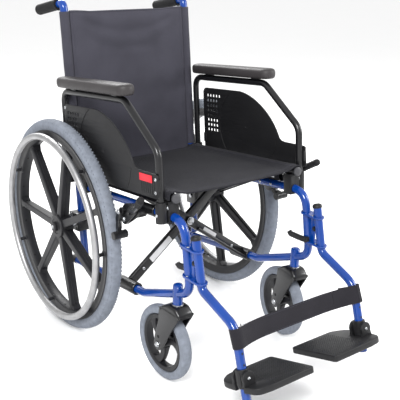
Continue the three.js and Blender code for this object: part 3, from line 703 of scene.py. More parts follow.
def rear_wheels():
    form = Form()
    centre = level(WHEEL_X, 0, REAR_RADIUS)
    rim = [(RIM_IN + 0.5, -14.5), (RIM_IN - 0.6, -13), (RIM_IN - 1, 0), (RIM_IN - 0.6, 13)]
    lip = [(RIM_IN + 0.5, 14.5), (251, 15.2), (256, 14), (263, 14.8), (270, 16.8), (271, 15.8), (265, 11.5)]
    rim += lip + [(r, -w) for r, w in lip[:0:-1]]
    turned(form, rim, centre, X_AXIS, 128)
    hub = [(6.6, -20), (26, -20), (31, -18), (32, -15), (32, 12), (33.5, 14), (33.5, 19), (32, 21)]
    hub += [(23, 21.5), (21, 20), (15, 20), (13.4, 21.5), (13.4, 24), (6.6, 24)]
    turned(form, hub, centre, X_AXIS, 64)
    for i in range(SPOKES):
        place = wheel_place(i * 2 * math.pi / SPOKES + SPOKE_TURN)
        for inner, outer, low, high in ((11, 8.5, 4, 15.5), (7, 5.5, -15, 6)):
            loft = []
            widths = ((24, inner, 1), (120, (inner + outer) / 2, 0.94), (RIM_IN + 1, outer, 0.86))
            for u, half, lift in widths:
                loft.append((u, half, low * lift, high * lift))
            tapered(form, loft, place)
        foot = [(RIM_IN - 14, 8, -12.5, 12.5), (RIM_IN - 3, 13, -13, 13), (RIM_IN + 1, 17, -13, 13)]
        tapered(form, foot, place)
        post = wheel_place((i + 0.5) * 2 * math.pi / SPOKES + SPOKE_TURN)
        reach = HANDRIM_X - WHEEL_X - 9
        tube(form, [post(253, 0, 8), post(253, 0, 22), post(255, 0, reach)], 5, 16)
        turned(form, [(0, 5), (8, 5), (9.5, 3), (9.5, 0), (0, 0)], post(253, 0, 11), X_AXIS, 24)
    ring = [(5.8, 0), (13.4, 0), (13.4, 3), (11.5, 5.2), (7.5, 5.6), (5.8, 4)]
    turned(form, ring, level(HUB_OUT - 2.5, 0, REAR_RADIUS), X_AXIS, 36)
    form.both("rear_wheel", "wheel", "wheel_plastic", ["rear_wheel"])

    # the rim's drain holes are not cut: a near-black disc on the rim's inner face stands in for each, painted
    # shade
    holes = Form()
    for i in range(SPOKES * 2):
        spot = wheel_place((i + 0.25) * math.pi / SPOKES + SPOKE_TURN + 0.1)
        inward = spot(0, 0, 5) - spot(1, 0, 5)
        hole_shade_disc(holes, spot(RIM_IN - 1, 0, 5), inward, 0.25)
    holes.both("rim_hole_shade", "wheel", "wheel_plastic", paint=HOLE_SHADE)

    rims = Form()
    ring = [(256.5 + 9.4 * math.cos(t), 9.4 * math.sin(t)) for t in [i * math.pi / 10 for i in range(20)]]
    turned(rims, ring, level(HANDRIM_X, 0, REAR_RADIUS), X_AXIS, 144)
    rims.both("handrim", "wheel", "handrim", ["handrim"])


def tapered(form, sections, place):
    """A bar through the sections (reach, half width, low, high), with rounded long edges."""
    verts, rows = [], []
    for u, half, low, high in sections:
        edge = min(2.2, half * 0.6, (high - low) * 0.3)
        outline = softened([(-half, low), (half, low), (half, high), (-half, high)], edge, 3)
        rows.append(range(len(verts), len(verts) + len(outline)))
        verts += [place(u, v, w) for v, w in outline]
    joined_rows(form, verts, rows)


def tyre_radius(x, outer, half, depth):
    """The tread's radius at a distance from the tyre's middle plane."""
    return outer - depth * (1 - (1 - min(abs(x) / half, 1) ** 2.4) ** 0.5)


def tyre_profile(outer, inner, width, depth, grooves=()):
    half = width / 2
    profile = []
    steps = 22
    for i in range(steps + 1):
        x = -half * math.cos(math.pi * i / steps)
        drop = sum(0.9 * math.exp(-(((x - g) / 0.9) ** 2)) for g in grooves)
        profile.append((tyre_radius(x, outer, half, depth) - drop, x))
    seat = half * 0.62
    lower = outer - depth - 9
    profile += [(lower, half * 0.9), (inner, seat), (inner, -seat), (lower, -half * 0.9)]
    return profile


def tyres():
    form = Form()
    outer, half, depth = REAR_RADIUS - 0.5, 18, 16
    profile = tyre_profile(outer, 265, 36, depth)
    turned(form, profile, level(WHEEL_X, 0, REAR_RADIUS), X_AXIS, 144)
    count = 168
    outward = [(0, 2.2, 4.0, 0.5), (4.6, 2.2, 4.0, 0.7), (9.2, 2.2, 4.0, 0.9), (14.6, 3.2, 5.0, 1.5)]
    inward = [(-x, *block_size) for x, *block_size in outward[:0:-1]]
    for row, (x, wide, long, high) in enumerate([*inward, *outward]):
        base = tyre_radius(x, outer, half, depth)
        lean = math.atan(tyre_radius(x + 1, outer, half, depth) - base)
        for i in range(count):
            place = wheel_place((i + 0.5 * (row % 2)) * 2 * math.pi / count)
            lug(form, place, base, x, lean, wide / 2, long / 2, high)
    form.both("rear_tyre", "wheel", "tyre", ["rear_tyre"])


def lug(form, place, base, x, lean, half_wide, half_long, high):
    """One tread block, square to the tread where it stands."""
    c, s = math.cos(lean), math.sin(lean)
    verts = []
    for lift, size in ((-1.0, 1.0), (high, 0.72)):
        for a, b in ((-1, -1), (1, -1), (1, 1), (-1, 1)):
            across = a * half_wide * size
            verts.append(place(base + across * s + lift * c, b * half_long * size, x + across * c - lift * s))
    form.add(verts, [(4, 5, 6, 7), (0, 1, 5, 4), (1, 2, 6, 5), (2, 3, 7, 6), (3, 0, 4, 7)])


# ---------- casters ----------
def caster_place(side):
    """From the stem: across the fork, back along its trail, and up from the ground, as the caster stands."""
    across = Vector(joint(f"{side}_caster_spin")["axis"]).normalized()
    back = Z_AXIS.cross(across)
    stem = level(SIDES[side] * FRAME_X, STEM_Y, 0)

    def place(x, y, z):
        return stem + across * x * MM + back * y * MM + Z_AXIS * z * MM

    return place


CASTER_TRAIL = 50
CASTER_RADIUS = 100


def casters():
    for side in SIDES:
        body, roll = f"{side}_caster", f"{side}_caster_roll"
        place = caster_place(side)
        across = place(1, 0, 0) - place(0, 0, 0)
        hub = place(0, CASTER_TRAIL, CASTER_RADIUS)
        fork = Form()
        outline = softened([(-26, 214), (-31, 200), (-13, 172), (33, 92, 14), (50, 81, 14), (66, 92, 14),
                            (63, 122), (47, 172), (47, 198), (42, 214)], 9)
        for low, high in ((-24, -20.3), (20.3, 24)):
            plate(fork, outline, lambda u, v, w: place(w, u, v), low, high, 0.9)
        hood = softened([(-36, 202.5, 1), (-34, 214), (-17, 228), (14, 228), (36, 217), (49, 205),
                         (49, 202.5, 1)], 7)
        plate(fork, hood, lambda u, v, w: place(w, u, v), -24, 24, 8)
        rod(fork, 6.5, 46, place(0, 0, 220), Z_AXIS)
        for x in (-1, 1):
            boss = [(0, 1.2), (8.5, 1.2), (10, 0), (0, 0)]
            turned(fork, boss, place(x * 24, CASTER_TRAIL, CASTER_RADIUS), across * x, 28)
        fork.piece(f"{body}_fork_detail", body, "black_metal", [f"{body}_fork"])

        metal = Form()
        for x in (-1, 1):
            hex_head(metal, place(x * 24.2, CASTER_TRAIL, CASTER_RADIUS), across * x, 5.6, 4)
        rod(metal, 4, 48, place(-24, CASTER_TRAIL, CASTER_RADIUS), across, 20)
        washer = [(6.6, 0), (14, 0), (15, 1), (15, 3), (14, 3.8), (6.6, 3.8)]
        turned(metal, washer, place(0, 0, 226.5), Z_AXIS, 36)
        metal.piece(f"{body}_axle_detail", body, "zinc", [f"{body}_axle"])

        # the fork's spare holes are not cut: a near-black disc on each fork plate is painted shade in place of the
        # hole
        spare = Form()
        for x in (-1, 1):
            at = place(x * 24.05, CASTER_TRAIL - 3, 124)
            turned(spare, [(0, 0.2), (4.2, 0.2), (4.4, 0), (4.4, -1), (0, -1)], at, across * x, 20)
        spare.piece(f"{side}_fork_spare_hole_shade", body, "black_metal", paint=HOLE_SHADE)

        wheel = Form()
        rim = [(67, -11.5), (65, -10), (64.2, 0), (65, 10), (67, 11.5), (75.4, 11.8), (76.9, 10.6)]
        rim += [(76.9, -10.6), (75.4, -11.8)]
        turned(wheel, rim, hub, across, 72)
        turned(wheel, [(4.8, -19), (13, -19), (15, -17), (15, 17), (13, 19), (4.8, 19)], hub, across, 32)
        for i in range(3):
            curved_spoke(wheel, place, i * 120 + 28)
        wheel.piece(f"{body}_wheel_detail", roll, "wheel_plastic", [f"{body}_wheel"])

        tyre = Form()
        profile = tyre_profile(CASTER_RADIUS, 77.2, 30, 11, (-7, 7))
        turned(tyre, profile, hub, across, 96)
        tyre.piece(f"{body}_tyre_detail", roll, "tyre", [f"{body}_tyre"])


def curved_spoke(form, place, start):
    """One spoke, widening to the rim and sweeping round as it goes out."""
    verts, rows = [], []
    steps = 8
    for i in range(steps + 1):
        t = i / steps
        radius = 11 + t * 55
        turn = math.radians(start + 26 * t * t)
        half_wide = 9 + 7 * (2 * t - 1) ** 2 * (1 if t > 0.5 else 0.5)
        half_deep = 9.5 - 2.5 * math.sin(math.pi * t)
        section = softened(oblong(half_wide, half_deep), 3, 3)
        c, s = math.cos(turn), math.sin(turn)
        rows.append(range(len(verts), len(verts) + len(section)))
        for v, w in section:
            y, z = radius * c - v * s, radius * s + v * c
            verts.append(place(w, CASTER_TRAIL + y, CASTER_RADIUS + z))
    joined_rows(form, verts, rows)


# ---------- armrests ----------
ARM_FRONT, ARM_REAR, ARM_TOP = -440, 12, 372
GUARD_X, GUARD_THICK = 236.6, 4


def armrests():
    form = Form()
    corners = [(ARM_X, ARM_FRONT, 99), (ARM_X, ARM_FRONT, 262, 45), (ARM_X, -306, ARM_TOP, 45)]
    corners += [(ARM_X, ARM_REAR, ARM_TOP, 34), (ARM_X, ARM_REAR, 123)]
    tube(form, route(framed, corners), 9.2, 28)
    for y in (-270, -60):
        block(form, (ARM_X - 9, y - 12, ARM_TOP + 8), (ARM_X + 9, y + 12, ARM_TOP + 12.4), framed, 1)
    form.both("armrest_tube", "armrest", "black_metal", ["armrest_tube"])
    pads = armrest_pad().both("armrest_pad", "armrest", "armrest_foam", ["armrest_pad"], angle=50)
    side_guards()


def armrest_pad():
    """A moulded pad: a crowned top, sides that pull in below, and round ends."""
    form = Form()
    x0, half, front, rear, low = 229, 25, -335, 15, ARM_TOP + 12.5
    rings = []
    sides = [(0, 6.5), (1.5, 3), (5, 1), (11, 0), (17, 0.2)]
    crown = [(21.5, 1.2), (24.6, 3.4), (26.6, 7), (27.6, 12), (28, 18)]
    for height, inset in [*sides, *crown]:
        radius = half - inset
        ring = ring_points(radius, x0, rear - half, 0, 180, 14)
        ring += ring_points(radius, x0, front + half, 180, 360, 14)
        rings.append([framed(x, y, low + height) for x, y in ring])
    n = len(rings[0])
    verts = [v for ring in rings for v in ring]
    joined_rows(form, verts, [range(i * n, i * n + n) for i in range(len(rings))])
    return form


def guard_outline():
    top = 340
    points = [(-10, 153), (-10, top - 12)]
    points += [(-10 - 14 * t, top - 12 * (1 - t) ** 2) for t in (0.25, 0.5, 0.75, 1)]
    points.append((-180, top))
    for i in range(1, 13):
        t = i / 12
        weights = ((1 - t) ** 3, 3 * t * (1 - t) ** 2, 3 * t * t * (1 - t), t**3)
        ends = ((-180, top), (-240, top - 4), (-315, 292), (-346, 232))
        points.append(tuple(sum(w * e[k] for w, e in zip(weights, ends)) for k in (0, 1)))
    points += [(-351, 222), (-359, 216), (-372, 214), (-446, 212.3), (-452, 210), (-455, 158), (-440, 153)]
    return points


def side_guards():
    def place(u, v, w):
        return framed(w, u, v)

    form = Form()
    holes = []
    for j in range(8):
        for i in range(5):
            if i == 4 and 0 < j < 7:
                continue
            y, z, h = -32 - 14 * i, 212 + 15 * j, 3.8
            holes.append(softened([(y - h, z - h), (y - h, z + h), (y + h, z + h), (y + h, z - h)], 1.2, 2))
    plate(form, guard_outline(), place, GUARD_X, GUARD_X + GUARD_THICK, 1.1, holes)
    dish_y, dish_z, reach = -207, 235, 118
    rear_arc = ring_points(reach, dish_y, dish_z, 59, -42, 30)
    front_arc = ring_points(reach + 12, dish_y - 4, dish_z, 190, 216, 10)
    for x, way in ((GUARD_X, -1), (GUARD_X + GUARD_THICK, 1)):
        for arc in (rear_arc, front_arc):
            sweep(form, [framed(x, y, z) for y, z in arc], circle(1.5, 10))
        nub = framed(x, dish_y, dish_z)
        turned(form, [(0, 1.5), (3, 1.2), (4.5, 0), (0, 0)], nub, X_AXIS * way, 24)
    for i in range(7):
        y = -384 - 9 * i
        block(form, (GUARD_X + 2, y - 1, 162), (GUARD_X + GUARD_THICK + 1, y + 1, 204), framed, 0.5, 1)
    for y in (-18, -447):
        block(form, (ARM_X + 6, y - 6, 172), (GUARD_X + 1, y + 6, 200), framed, 1)
    form.both("side_guard", "armrest", "moulded_plastic", ["side_guard"])

    screws = Form()
    for y, z in ((-442, 168), (-444, 200), (-17, 170), (-17, 330)):
        dome_screw(screws, framed(GUARD_X + GUARD_THICK, y, z), X_AXIS, 4.5)
    screws.both("guard_screws", "armrest", "zinc")

    label = Form()
    outline = softened([(-432, 190), (-378, 190), (-378, 208), (-432, 208)], 1.5, 3)
    face = GUARD_X + GUARD_THICK + 1.1
    plate(label, outline, place, face, face + 0.8, 0.2)
    label.both("guard_label", "armrest", "moulded_plastic", paint=LABEL_RED)


# ---------- wheel locks ----------
def wheel_locks():
    pivot, shoe_pivot, shoe_at = (-297, 409), (-291, 430), (-312, 378)
    bracket = Form()
    outline = softened([(-356, 436), (-345, 464), (-284, 446), (-272, 430), (-276, 400), (-296, 392)], 11)
    plate(bracket, outline, upright_plane, 237.5, 241.6, 1.2)
    block(bracket, (211, -344, 424), (239, -318, 446), level, 4)
    half = [(11.4, -30), (14.6, -30), (15.6, -29), (15.6, 29), (14.6, 30), (11.4, 30)]
    half_ring(bracket, half, framed(FRAME_X, -352, 103), RAIL_WAY, X_AXIS * MM)
    for pivot_at, reach in ((pivot, 247), (shoe_pivot, 256)):
        rod(bracket, 5.5, reach - 241, level(241, *pivot_at), X_AXIS, 20)
    bracket.both("brake_bracket", "side", "black_metal", ["brake_bracket"])

    lever = Form()
    run = math.atan2(37, -39)
    turn = math.degrees(run)
    outline = ring_points(13, *pivot, turn + 90, turn + 270, 12)
    outline += ring_points(13, pivot[0] - 39, pivot[1] + 37, turn - 90, turn + 90, 12)
    spare = [ring_points(3.6, pivot[0] - 25, pivot[1] + 23, sides=16)]
    plate(lever, outline, upright_plane, 242.5, 250.5, 2.2, spare)
    bar = route(level, [(250, -332, 441), (253, -352, 452, 30), (289, -434, 509)])
    tube(lever, bar, 6.6, 20)
    lever.both("brake_lever", "brake", "black_metal", ["brake_lever"])

    grip = Form()
    along = (level(289, -434, 509) - level(267, -388, 477.5)).normalized()
    profile = [(6.7, 0), (8.4, 0.2), (9.2, 1.5)]
    for i in range(6):
        at = 6 + i * 7
        profile += [(9.4, at), (8.5, at + 1.6), (8.5, at + 3), (9.4, at + 4.6)]
    profile += [(9.5, 50), (9.3, 55), (7.5, 59), (4, 61.5), (0, 62)]
    turned(grip, [(0, 1), (6.6, 1), *profile], level(267, -388, 477.5), along, 24)
    grip.both("brake_grip", "brake", "grip_rubber")

    shoe = Form()
    ribs = [(0, 0), (9.4, 0)]
    for i in range(7):
        at = 1 + i * 5.4
        ribs += [(10.5, at), (10.5, at + 3.2), (9.3, at + 4), (9.3, at + 4.8)]
    turned(shoe, [*ribs, (10.2, 38.4), (9, 39), (0, 39)], level(252, *shoe_at), X_AXIS, 24)
    bends = [(*shoe_pivot, 257), (-284, 404, 258, 14), (-298, 386, 265, 10), (*shoe_at, 276)]
    arm_route = route(upright_plane, bends)
    sweep(shoe, arm_route, softened(oblong(5.5, 8.5), 3, 3), up=X_AXIS)
    boss = [(4.7, 0), (9.4, 0), (10, 0.8), (10, 4.2), (9.4, 4.8), (4.7, 4.8)]
    turned(shoe, boss, level(250.6, *shoe_pivot), X_AXIS, 24)
    shoe.both("brake_shoe", "shoe", "black_metal", ["brake_shoe"])

    bolts = Form()
    hex_head(bolts, level(250.6, *pivot), X_AXIS, 5.5, 3)
    hex_head(bolts, level(262.6, *shoe_pivot), X_AXIS, 5, 2.6)
    bolts.both("brake_bolts", "side", "zinc")


# ---------- legrests ----------
HANGER_TOP, HANGER_FOOT = (-525, 428), (-547, 338)
HINGE = (194.5, -709, 154)
PITCH = math.radians(18)


def hanger_at(z, x=FRAME_X):
    t = (z - HANGER_TOP[1]) / (HANGER_FOOT[1] - HANGER_TOP[1])
    return (x, HANGER_TOP[0] + t * (HANGER_FOOT[0] - HANGER_TOP[0]), z)


def leg_at(z):
    return (HINGE[0], HINGE[1] + (z - HINGE[2]) * math.tan(PITCH), z)


def footed(x, y, z):
    """From the footplate's hinge: x outboard, y back along the plate, z square to it."""
    c, s = math.cos(PITCH), math.sin(PITCH)
    return level(HINGE[0] + x, HINGE[1] + y * c + z * s, HINGE[2] - y * s + z * c)


def legrests():
    form = Form()
    corners = [hanger_at(426), (*hanger_at(306), 26), (*leg_at(262), 60), leg_at(95)]
    path = route(level, corners)
    tube(form, path, TUBE, 28)
    hanger_axis = level(*hanger_at(428)) - level(*hanger_at(338))
    cap = [(0, 4.5), (7, 4), (11, 2), (12.6, -0.5), (12.6, -6), (11.4, -7), (0, -7)]
    form.both("legrest_tube", "legrest", "frame_paint", ["legrest_tube"])

    dots = Form()
    turned(dots, cap, level(*hanger_at(428)), hanger_axis, 32)
    front = footed(0, -1, 0) - footed(0, 0, 0)
    # two dark discs on the tube's front stand in for its adjustment holes: painted shade, in the caps' black
    # plastic
    for z in (206, 181):
        at = level(*leg_at(z)) + front * (TUBE - 0.2)
        hole_shade_disc(dots, at, front)
    bumper = hanger_at(362)
    turned(dots, [(0, 11), (6, 11), (7, 9), (7, 1), (6, 0), (0, 0)], level(FRAME_X, bumper[1] + 10, 362),
           Vector((0, 1, 0)), 24)
    end = footed(0, 0, -60)
    down = footed(0, 0, -61) - footed(0, 0, -60)
    turned(dots, [(0, 2.4), (8, 2), (10.6, 0), (10.6, -2), (0, -2)], end, down, 24)
    dots.both("legrest_caps_and_hole_shade", "legrest", "moulded_plastic")

    latch = Form()
    lever = route(level, [(183, -512, 329), (181, -490, 328, 12), (187, -446, 324, 5), (188, -441, 330)])
    sweep(latch, lever, softened(oblong(3.2, 8), 2.5, 3), up=X_AXIS)
    turned(latch, [(0, 0), (6, 0), (7, 1), (7, 10), (6, 11), (0, 11)], level(183, -512, 325.9), Z_AXIS, 24)
    latch.both("latch_lever", "latch", "moulded_plastic", ["latch_lever"])

    bracket = Form()
    sleeve = [(11.5, -24), (14.5, -24), (15.6, -22.5), (15.6, 18.5), (14.5, 20), (11.5, 20)]
    up = footed(0, 0, 1) - footed(0, 0, 0)
    turned(bracket, sleeve, footed(0, 0, 0), up, 36)
    for y in (-1, 1):
        y0, y1 = sorted((y * 9, y * 13.8))
        block(bracket, (-12, y0, -13), (12, y1, 12), footed, 3)
    block(bracket, (4, -9, -20), (15.2, 9, 16), footed, 3)
    bracket.both("footplate_bracket", "legrest", "moulded_plastic", ["footplate_bracket"])

    bolts = Form()
    for y in (-1, 1):
        dome_screw(bolts, footed(0, y * 21.4, 0), front * -y, 4.2)
    bolts.both("footplate_bolts", "legrest", "zinc")
    footplates()


def footplates():
    form = Form()
    inner, outer, notch = 35 - HINGE[0], 15.5, 14.4
    front, rear, drop, thick = -63, 89, 15.3, 16
    corners = [(inner, front, 9), (-30, front, 6), (outer - 5, front + 6, 26), (outer, -notch, 1)]
    corners += [(-16.5, -notch, 2), (-16.5, notch, 2), (outer, notch, 1), (outer, rear - 26, 24)]
    corners += [(-20, rear, 12), (inner, rear, 9)]
    plate(form, softened(corners, 6), footed, -drop - thick, -drop - 0.6, 2.4)
    for u in range(17):
        for v in range(18):
            x, y = inner + 14 + u * 6.4, front + 12 + v * 7.2
            if x > -36:
                continue
            at = footed(x, y, -drop - 0.7)
            turned(form, [(0, 0.9), (1.3, 0.7), (2, 0)], at, footed(0, 0, 1) - footed(0, 0, 0), 6)
    for y in (-1, 1):
        y0, y1 = sorted((y * notch, y * 21.5))
        ear = ring_points(17, 0, 0, -25, 205, 20) + [(-18, -drop - 2), (18, -drop - 2)]
        plate(form, ear, lambda u, v, w: footed(u, w, v), y0, y1, 1.4)
    block(form, (-60, front + 22, -drop - thick - 3), (-20, rear - 25, -drop - thick + 2), footed, 1.5)
    form.both("footplate", "foot", "moulded_plastic", ["footplate"])


# ---------- cross brace ----------
RISE = SEAT_Z - LOWER_Z
BAR_LENGTH = math.hypot(2 * FRAME_X, RISE)
BAR_ANGLE = math.atan2(RISE, 2 * FRAME_X)


def bar_place(hand):
    """Along a brace bar from its lower pivot, along the chair, and square to the bar."""
    c, s = math.cos(BAR_ANGLE), math.sin(BAR_ANGLE)

    def place(u, v, w):
        return framed(hand * (-FRAME_X + u * c - w * s), v, LOWER_Z + u * s + w * c)

    return place


def cross_brace():
    along = RAIL_WAY
    for name, body, hand, front in (("crossbar_a", "brace_a", 1, -1), ("crossbar_b", "brace_b", -1, 1)):
        place = bar_place(hand)
        form = Form()
        y = BRACE_Y - front * 6.3
        block(form, (13, y - 6, -13), (BAR_LENGTH - 13, y + 6, 13), place, 2.4, 3)
        sleeve = [(11.9, -40), (16, -40), (17, -39), (17, 39), (16, 40), (11.9, 40)]
        turned(form, sleeve, place(0, BRACE_Y, 0), along, 36)
        cradle = [(11.6, -34), (14, -34), (14.6, -33), (14.6, 33), (14, 34), (11.6, 34)]
        half_ring(form, cradle, place(BAR_LENGTH, BRACE_Y, 0), along, -RAISED)
        strut_y, strut_end = BRACE_Y - front * 34, y - front * 7.5
        strut = route(place, [(8, strut_y, -12), (40, strut_y, -12, 20), (205, strut_end, -8)])
        tube(form, strut, 5, 16)
        form.piece(name + "_detail", body, "black_metal", [name])

        bolts = Form()
        for u, w in ((60, 0), (BAR_LENGTH - 62, 3)):
            dome_screw(bolts, place(u, y - 6, w), -along, 4.5)
        bolts.piece(name + "_bolts", body, "zinc")

        label = Form()
        spot, half_long, half_wide = (330, 26, 7) if front == 1 else (132, 42, 9)
        low, high = y - 6.5, y - 5.9
        middle_u = BAR_LENGTH - spot if front == 1 else spot
        sticker = softened(oblong(half_long, half_wide), 1.5, 3)
        plate(label, sticker, lambda u, v, w: place(middle_u + u, w, v), low, high, 0.15)
        label.piece(name + "_label", body, "black_metal", paint=LABEL_WHITE)

    bolt = Form()
    centre = framed(0, BRACE_Y, (SEAT_Z + LOWER_Z) / 2)
    turned(bolt, [(0, -19), (4.9, -19), (4.9, 19), (0, 19)], centre, along, 24)
    hex_head(bolt, centre - along * 18, -along, 8.5, 5)
    hex_head(bolt, centre + along * 18, along, 8.5, 5)
    bolt.piece("cross_bolt_detail", "brace_a", "zinc", ["cross_bolt"])

    for side, hand in SIDES.items():
        body = "brace_a" if side == "left" else "brace_b"
        form = Form()
        tube(form, [framed(hand * FRAME_X, -465, SEAT_Z), framed(hand * FRAME_X, -3, SEAT_Z)], TUBE, 28)
        form.piece(f"{side}_seat_tube_detail", body, "black_metal", [f"{side}_seat_tube"])
        cap = Form()
        profile = [(0, 4), (8, 3.6), (11.8, 1.6), (12.3, 0), (12.3, -2.5), (0, -2.5)]
        turned(cap, profile, framed(hand * FRAME_X, -464.5, SEAT_Z), -along, 28)
        cap.piece(f"{side}_seat_tube_cap", body, "moulded_plastic", paint=CAP_GREY)


def half_ring(form, profile, at, along, middle_way):
    """Half of a turned ring about `along`: its middle points `middle_way`."""
    out = along.cross(middle_way).normalized() * MM
    steps = 18
    verts = []
    n = len(profile)
    for i in range(steps + 1):
        t = math.pi * (0.06 + 0.88 * i / steps)
        around = out * math.cos(t) + middle_way * math.sin(t)
        verts += [at + around * r + along * h for r, h in profile]
    joined_rows(form, verts, [range(i * n, i * n + n) for i in range(steps + 1)])


# ---------- cloth ----------
def cloth_grid(name, rows):
    """An open sheet through rows of points."""
    n = len(rows[0])
    verts = [p for row in rows for p in row]
    faces = []
    for i in range(len(rows) - 1):
        faces += [(i * n + k, i * n + k + 1, (i + 1) * n + k + 1, (i + 1) * n + k) for k in range(n - 1)]
    mesh = bpy.data.meshes.new(name)
    mesh.from_pydata(verts, [], faces)
    made = bpy.data.objects.new(name, mesh)
    bpy.context.scene.collection.objects.link(made)
    return made


def relaxed(sheet, held, push, cap, slack):
    """Lets the sheet settle under its weight and a soft load, with the held points fixed."""
    start = [v.co.copy() for v in sheet.data.vertices]
    group = sheet.vertex_groups.new(name="held")
    group.add(held, 1.0, "REPLACE")
    cloth = sheet.modifiers.new("Cloth", "CLOTH")
    cloth.settings.quality = 6
    cloth.settings.mass = 0.4
    cloth.settings.tension_stiffness = 40
    cloth.settings.compression_stiffness = 30
    cloth.settings.bending_stiffness = 1.5
    cloth.settings.shrink_min = -slack
    cloth.settings.vertex_group_mass = "held"
    cloth.settings.effector_weights.gravity = push
    cloth.collision_settings.use_collision = False
    scene = bpy.context.scene
    for number in range(1, 21):
        scene.frame_set(number)
    graph = bpy.context.evaluated_depsgraph_get()
    settled = [v.co.copy() for v in sheet.evaluated_get(graph).data.vertices]
    sheet.modifiers.remove(cloth)
    for vertex, before, after in zip(sheet.data.vertices, start, settled):
        move = after - before
        if move.length > cap * MM:
            move = move.normalized() * cap * MM
        vertex.co = before + move
    scene.frame_set(1)


def finished_cloth(sheet, thick, slot, levels=1):
    """Gives the sheet its thickness and applies everything."""
    solid = sheet.modifiers.new("thickness", "SOLIDIFY")
    solid.thickness = thick * MM
    solid.offset = 0
    smooth = sheet.modifiers.new("smooth", "SUBSURF")
    smooth.levels = levels
    smooth.render_levels = levels
    graph = bpy.context.evaluated_depsgraph_get()
    mesh = bpy.data.meshes.new_from_object(sheet.evaluated_get(graph))
    sheet.modifiers.clear()
    sheet.data = mesh
    mesh.shade_smooth()
    mesh.materials.clear()
    mesh.materials.append(PAINTS[slot])
    return sheet


def stitches(form, points, normal, gap=4.2, length=2.8):
    """A row of stitches along the points."""
    distance = 0.0
    following = 0.0
    for a, b in zip(points, points[1:]):
        step = (b - a).length
        ahead = (b - a) / max(step, 1e-9)
        while following <= distance + step:
            at = a + ahead * (following - distance)
            half = ahead * length / 2 * MM
            ends = [at - half - normal * 0.2 * MM, at - half * 0.6 + normal * 0.35 * MM]
            ends += [at + half * 0.6 + normal * 0.35 * MM, at + half - normal * 0.2 * MM]
            sweep(form, ends, circle(0.45, 6))
            following += gap * MM
        distance += step


SEAT_FRONT, SEAT_REAR = -462, 1


def seat_height(x, y):
    """The top of the seat: over the tubes at the sides, hanging a little between them."""
    inside = max(0.0, 1 - (abs(x) / 205) ** 2.2)
    front = math.exp(-((y - SEAT_FRONT) / 70) ** 2)
    return 166.6 - (3.5 + 4.0 * front) * inside


def seat_section():
    """Across the seat from the right flap to the left one: x, and how far below the top it is."""
    edge = [(213.2, 21), (213.4, 15), (213.0, 9.5), (211.2, 4.5), (207.5, 1.2), (202, 0.1)]
    inner = [(196 - i * 8, 0) for i in range(25)]
    right = [(-x, d) for x, d in edge] + [(-x, d) for x, d in inner]
    return [*right, *[(x, d) for x, d in reversed([*edge, *inner[:-1]])]]


def over_brace(piece):
    """Bakes the piece's placement into its mesh; the piece rides on neither seat tube."""
    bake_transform(piece)


def seat_sling():
    section = seat_section()
    steps = 50
    rows = []
    for i in range(steps + 1):
        y = SEAT_FRONT + 2 + (SEAT_REAR - SEAT_FRONT - 4) * i / steps
        rows.append([framed(x, y, seat_height(x, y) - drop) for x, drop in section])
    sheet = cloth_grid("seat_sling_cloth", rows)
    n = len(section)
    held = [i * n + k for i in range(steps + 1) for k, (x, _) in enumerate(section) if abs(x) > 190]
    relaxed(sheet, held, 1.0, 7, 0.006)
    points = [v.co.copy() for v in sheet.data.vertices]
    top_of_section = [k for k in range(n) if abs(section[k][0]) < 211]
    hem_rows = [[points[row * n + k] for k in top_of_section] for row in (0, steps)]
    seam_rows = [points[row * n + 4:row * n + n - 4] for row in (2, steps - 2)]
    finished_cloth(sheet, 3.0, "seat_fabric")
    over_brace(sheet)
    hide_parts("seat_sling")

    up = RAISED
    hem = Form()
    folded_edge = [(0.2, 3), (-1.6, 2.6), (-4.2, 1.8), (-5.2, 0)]
    folded_edge += [(-4.2, -1.8), (-1.6, -2.6), (0.2, -3), (1.4, 0)]
    hem_fold = [(v * 0.62, u * 0.75) for u, v in folded_edge]
    for row in hem_rows:
        sweep(hem, row, hem_fold, up=up)
    hems = hem.piece("seat_hems", None, "seat_fabric", angle=60)
    over_brace(hems)
    rows_of_stitches = Form()
    for line in seam_rows:
        lifted = [p + up * 1.5 for p in line]
        stitches(rows_of_stitches, lifted, up.normalized())
    for x in (-186, 186):
        line = [framed(x, y, seat_height(x, y) + 1.3) for y in range(SEAT_FRONT + 12, SEAT_REAR - 10, 8)]
        stitches(rows_of_stitches, line, up.normalized())
    thread = rows_of_stitches.piece("seat_stitching", None, "seat_fabric", paint=THREAD)
    over_brace(thread)
    flap_form = Form()
    for hand in (-1, 1):
        near, far = sorted((hand * 184.6, hand * 187))
        block(flap_form, (near, -404, 119), (far, -34, 153), framed, 1)
    flaps = flap_form.piece("seat_flaps", None, "seat_fabric")
    over_brace(flaps)
    label = Form()
    block(label, (184, -386, 124), (184.8, -318, 140), framed, 0.3, 1)
    label.piece("seat_label", "brace_a", "seat_fabric", paint=LABEL_WHITE)


BACK_LOW, BACK_HIGH = 293, 706


def back_point(x, height, out):
    """On the back panel: across, up the uprights and forward of their middle plane."""
    side = upright_at(height)
    return Vector((x * MM, side.y, side.z)) - RAIL_WAY * out


def back_depth(x, height):
    """How far behind the uprights' middle plane the back panel runs."""
    inside = max(0.0, 1 - (x / 186) ** 2)
    crease = 1.1 * math.exp(-((height - 600) / 9) ** 2) - 0.7 * math.exp(-((height - 588) / 12) ** 2)
    return 4 + 5 * inside + crease * inside


